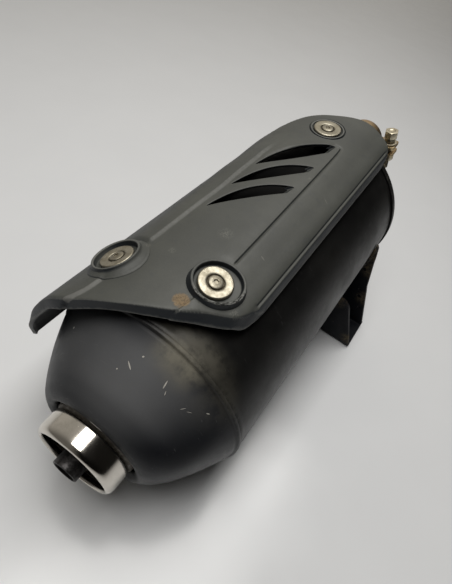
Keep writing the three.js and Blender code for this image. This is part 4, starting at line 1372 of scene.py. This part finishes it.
def bracket_section():
    """Outline of the bent channel in the table's X and height, as metres."""
    to_can = TO_TABLE.inverted()
    near_out, near_in = BRACKET_NEAR, BRACKET_NEAR + BRACKET_SHEET
    far_in, far_out = BRACKET_FAR, BRACKET_FAR + BRACKET_SHEET

    def at(can_x, height):
        return (can_x - to_can[0][2] * height - to_can[0][3]) / to_can[0][0], height

    top = 0.105
    floor, inner = 0.0001, BRACKET_SHEET * MM
    corners = [at(near_out, top), at(near_out, floor), at(far_out, floor), at(far_out, top),
               at(far_in, top), at(far_in, inner), at(near_in, inner), at(near_in, top)]
    radii = [0, 0.0048, 0.0048, 0, 0, 0.0020, 0.0020, 0]
    return filleted(corners, radii, 7)


def build_bracket():
    """Two walls and a pad bent from one strip, cut to hug the can."""
    section = bracket_section()
    right, left = on_table(200, BRACKET_RIGHT, -93).y, on_table(200, BRACKET_LEFT, -93).y
    shape = Shape()
    ids = [shape.add([(x, y, z) for x, z in section]) for y in (right, left)]
    shape.strip(*ids)
    shape.faces += [tuple(ids[0][::-1]), tuple(ids[1])]
    channel = shape.object("bracket", TO_TABLE.inverted())
    near = [(-140, -88), (-99, -92.5), (-95.2, -91.8), (-93.4, -89.4), (-78.9, -49), (-76.8, -44.2),
            (-72.6, -40.2), (-66, -38.5), (70, -38.5), (70, 90), (-140, 90)]
    far = [(-140, -92), (-99, -96), (-95.4, -95.0), (-93.6, -92.4), (-82.2, -51), (-80.7, -46), (-75.6, -16),
           (-75, -11), (-72.9, 1.0), (-71.4, 3.6), (-69.4, 4), (-60, 4), (50, -38.5), (70, -38.5), (70, 90),
           (-140, 90)]
    tools = [prism(near, BRACKET_NEAR - 12, BRACKET_NEAR + 12, "X").object("near_cut"),
             prism(far, BRACKET_FAR - 12, BRACKET_FAR + 16, "X").object("far_cut"),
             prism([tuple(p[1:]) for p in circle(CAN_RADIUS + GAP, 240)], 150, 250, "X").object("can_cut")]
    combine(channel, tools)
    for y in BRACKET_HOLE_YS:
        centre = (BRACKET_HOLE_X * MM + on_table(0, 0, -SEAM_RADIUS).x - 0.00811, y * MM + 0.00822)
        ring = plane_circle(BRACKET_HOLE_RADIUS * MM, 48, centre)
        combine(channel, [prism(ring, -0.01, 0.02).object("bore", TO_TABLE.inverted())])
    bevelled(channel, 0.45, 3, 40, 40)
    near_x, far_x = BRACKET_NEAR - 0.9, BRACKET_FAR - 0.7
    beads = [channel]
    for x, first, last, proud, size, seed in (
            (near_x, -158, -122, 1.3, 1.7, 1.0), (near_x, 132, 160, 1.1, 1.6, 5.0),
            (far_x, -128, -92, 1.3, 1.7, 2.0), (far_x, 132, 160, 1.1, 1.6, 6.0),
            (far_x - 0.1, -118, -88, 1.2, 1.5, 8.0)):
        path = arc_on_can(x, first, last, CAN_RADIUS + proud, 0.8)
        beads.append(weld_bead("bead", path, size, seed, ripple=0.35))
    return joined("mounting_bracket", beads)


# ---- the inlet clamp -------------------------------------------------------------------------

CLAMP_AT = (Matrix.Translation((CLAMP_X, *INLET_CENTRE)) @ Matrix.Rotation(CLAMP_TURN, 4, "X"))
CLAMP_BOLT_AT = CLAMP_AT @ Matrix.Translation((0, -CLAMP_BOLT, 0))
CLAMP_SLOT, CLAMP_EAR_SHEET = 2.1, 2.2


def build_clamp_band():
    """One strap bent round the pipe, its two ears turned out."""
    inner, outer = INLET_PIPE_RADIUS + GAP, INLET_PIPE_RADIUS + GAP + 1.4
    low, high = CLAMP_SLOT, CLAMP_SLOT + CLAMP_EAR_SHEET

    def arc(radius, z_edge):
        edge = math.asin(z_edge / radius)
        turns = np.linspace(math.pi - edge, -math.pi + edge, 120)
        return [(radius * math.cos(a), radius * math.sin(a)) for a in turns]

    outline = [(-CLAMP_EAR, high), *arc(outer, high), (-CLAMP_EAR, -high), (-CLAMP_EAR, -low),
               *arc(inner, low)[::-1], (-CLAMP_EAR, low)]
    radii = [0.5, 2.5, *[0] * 118, 2.5, 0.5, 0.5, 0.9, *[0] * 118, 0.9, 0.5]
    half = CLAMP_WIDTH / 2
    band = prism(filleted(outline, radii, 5), -half, half, "X").object("clamp_band", CLAMP_AT)
    plan = filleted([(-half, 40), (-half, -CLAMP_EAR), (half, -CLAMP_EAR), (half, 40)], [0, 3.5, 3.5, 0], 6)
    combine(band, [prism(plan, -30, 30).object("plan", CLAMP_AT)], "INTERSECT")
    hole = prism(plane_circle(3.5, 40), -12, 12).object("hole", CLAMP_BOLT_AT)
    return bevelled(combine(band, [hole]), 0.28, 2, 40, 45)


def chamfered_hexagon(name, across, low, high, spin):
    """A hexagon prism with the corners of both ends turned off."""
    at = CLAMP_BOLT_AT @ Matrix.Rotation(math.radians(spin), 4, "Z")
    base = prism(hexagon(across), low, high).object(name, at)
    reach, corner = across / 2, across / math.sqrt(3) + 0.1
    drop = (corner - reach) * 0.55
    cone = revolved_up([(0, low), (reach * 0.97, low), (corner, low + drop), (corner, high - drop),
                          (reach * 0.97, high), (0, high)], 96).object("cone", at)
    return combine(base, [cone], "INTERSECT")


def build_clamp_bolt():
    pitch = 1.25
    rings = []
    heights = np.arange(-18.2, 10.01, 0.156)
    for z in heights:
        turn = np.linspace(0, 2 * math.pi, 48, endpoint=False)
        phase = (z / pitch - turn / (2 * math.pi)) % 1
        tooth = 1 - np.abs(phase * 2 - 1)
        end = min(1.0, (z + 18.2) / 0.8 + 0.25)
        thread = tooth * end * float(smoothstep(-z, -4.4, -3.2))
        radius = 2.55 + 0.42 * thread + 0.42 * (1 - float(smoothstep(-z, -4.4, -3.2)))
        rings.append(np.column_stack([radius * np.cos(turn), radius * np.sin(turn), np.full(48, z)]))
    shape = Shape()
    shape.tube(rings, [0.55] * len(rings), capped=True)
    shank = shape.object("clamp_bolt", CLAMP_BOLT_AT, sharp=28)
    head = chamfered_hexagon("head", 10, 9.9, 15.8, 14)
    dish = revolved_up([(0, 15.1), (2.2, 15.15), (3.0, 15.5), (3.35, 16.4), (0, 16.4)], 48)
    combine(head, [dish.object("dish", CLAMP_BOLT_AT)])
    bevelled(head, 0.16, 2, 30, 40)
    return joined("clamp_bolt", [shank, head], 35)


def build_clamp_nut():
    nut = chamfered_hexagon("clamp_nut", 10, -10, -4.6, 41)
    bore = revolved_up([(0, -11), (3.9, -11), (3.2, -9.5), (3.15, -7), (3.2, -5.1), (3.9, -4), (0, -4)], 64)
    return bevelled(combine(nut, [bore.object("bore", CLAMP_BOLT_AT)]), 0.14, 2, 30, 40)


def build_clamp_washer():
    profile = [(3.4, 4.75), (3.55, 4.62), (6.1, 4.62), (6.4, 4.9), (6.4, 5.7), (6.1, 6.0), (3.55, 6.0),
               (3.4, 5.85)]
    return revolved_up(profile, 72, [0.4] * 8).object("clamp_washer", CLAMP_BOLT_AT, sharp=50)


def build_clamp_spacer():
    profile = [(3.3, 6.5), (3.45, 6.3), (4.05, 6.3), (4.2, 6.5), (4.2, 9.5), (4.05, 9.7), (3.45, 9.7),
               (3.3, 9.5)]
    return revolved_up(profile, 56, [0.5] * 8).object("clamp_spacer", CLAMP_BOLT_AT, sharp=50)


# ---- everything in place ---------------------------------------------------------------------

def install(piece, node, body, material):
    """Gives a piece its material and its body, and hides the CAD node it stands for."""
    piece.data.materials.clear()
    piece.data.materials.append(material)
    piece.data.polygons.foreach_set("material_index", [0] * len(piece.data.polygons))
    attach(piece, body)
    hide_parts(node)


def place_everything():
    shield, can, bracket = shield_plastic(), can_paint(), bracket_paint()
    chrome, neck, pipe = tip_chrome(), dark_steel(), pipe_steel()
    straw, hardware, clamp = straw_steel(), shield_hardware(), clamp_hardware()
    for build, node, slot, material in (
            (build_shield, "heat_shield", "shield_plastic", shield),
            (build_barrel, "barrel_shell", "can_paint", can),
            (build_dome, "tail_dome", "can_paint", can),
            (build_cap, "front_cap", "can_paint", can),
            (build_tip, "chrome_tip", "tip_chrome", chrome),
            (build_neck, "outlet_neck", "neck_steel", neck),
            (build_end_plate, "outlet_end_plate", "neck_steel", neck),
            (build_outlet_pipe, "outlet_pipe", "pipe_steel", pipe),
            (build_inlet_pipe, "inlet_pipe", "straw_steel", straw),
            (build_gasket, "inlet_gasket", "graphite", graphite()),
            (build_bracket, "mounting_bracket", "bracket_paint", bracket)):
        install(build(), node, "muffler", material)
    for name, station in STATIONS.items():
        washer = build_washer(f"washer_{name}", station)
        install(washer, f"shield_washer_{name}", "muffler", hardware)
        screw = build_screw(f"screw_{name}", station)
        install(screw, f"shield_screw_{name}", "muffler", hardware)
    install(build_clamp_band(), "clamp_band", "clamp", straw)
    for build, node in ((build_clamp_bolt, "clamp_bolt"), (build_clamp_nut, "clamp_nut"),
                        (build_clamp_washer, "clamp_washer"), (build_clamp_spacer, "clamp_spacer")):
        install(build(), node, "clamp", clamp)


def dress_hidden_parts():
    """The parts inside the can keep the CAD model's shapes, in new materials."""
    steel, chalk = inner_steel(), ceramic()
    for node in ("rear_baffle", "front_baffle", "short_transfer_tube", "long_transfer_tube", "catalyst_can",
                 *(f"standoff_{name}" for name in STATIONS)):
        dress(node, steel)
    for node in ("catalyst_core", *(f"insulator_{name}" for name in STATIONS)):
        dress(node, chalk)


def dress(node, material):
    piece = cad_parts[node]
    for slot in piece.material_slots:
        slot.material = material


# ---- the table, the light and the surroundings -----------------------------------------------

def make_table():
    """A pale glossy table, wide enough for its edge never to show."""
    work = bmesh.new()
    bmesh.ops.create_circle(work, cap_ends=True, radius=3.0, segments=96)
    mesh = bpy.data.meshes.new("table")
    work.to_mesh(mesh)
    work.free()
    table = bpy.data.objects.new("table", mesh)
    bpy.context.scene.collection.objects.link(table)
    f = Finish("table", specular=0.5)
    color = f.mix((0.715, 0.725, 0.74), (0.755, 0.765, 0.78), f.noise(70, detail=4))
    f.raise_by(f.noise(26, detail=3), 0.03)
    table.data.materials.append(f.done(color, f.span(f.noise(40, detail=4), 0.3, 0.7, 0.16, 0.24)))


def make_light():
    lamp = bpy.data.objects.new("softbox", bpy.data.lights.new("softbox", "AREA"))
    lamp.data.shape = "RECTANGLE"
    lamp.data.size = 1.25
    lamp.data.size_y = 0.5
    lamp.data.energy = 10.8
    lamp.data.color = (1.0, 0.985, 0.955)
    lamp.location = (0.0, 0.04, 1.1)
    bpy.context.scene.collection.objects.link(lamp)


def make_world():
    """A soft room: warm walls ahead and to the left, and a dark one on the right."""
    world = bpy.data.worlds.new("room")
    bpy.context.scene.world = world
    world.use_nodes = True
    tree = world.node_tree
    tree.nodes.clear()
    output = tree.nodes.new("ShaderNodeOutputWorld")
    background = tree.nodes.new("ShaderNodeBackground")
    tree.links.new(background.outputs[0], output.inputs[0])
    direction = tree.nodes.new("ShaderNodeTexCoord").outputs["Generated"]
    parts = tree.nodes.new("ShaderNodeSeparateXYZ")
    tree.links.new(direction, parts.inputs[0])

    def eased(socket, low, high, to_low, to_high):
        made = tree.nodes.new("ShaderNodeMapRange")
        made.interpolation_type = "SMOOTHSTEP"
        tree.links.new(socket, made.inputs["Value"])
        for key, value in (("From Min", low), ("From Max", high), ("To Min", to_low), ("To Max", to_high)):
            made.inputs[key].default_value = value
        return made.outputs["Result"]

    def product(a, b):
        made = tree.nodes.new("ShaderNodeMath")
        made.operation = "MULTIPLY"
        tree.links.new(a, made.inputs[0])
        tree.links.new(b, made.inputs[1])
        return made.outputs[0]

    side = eased(parts.outputs["Y"], -0.25, 0.30, 0.008, 0.36)
    ahead = eased(parts.outputs["X"], -0.6, 0.7, 0.35, 1.5)
    tree.links.new(product(side, ahead), background.inputs["Strength"])
    background.inputs["Color"].default_value = (1.0, 0.95, 0.86, 1)


place_everything()
dress_hidden_parts()
make_light()
make_world()
make_table()
bpy.context.scene.view_settings.view_transform = "Standard"
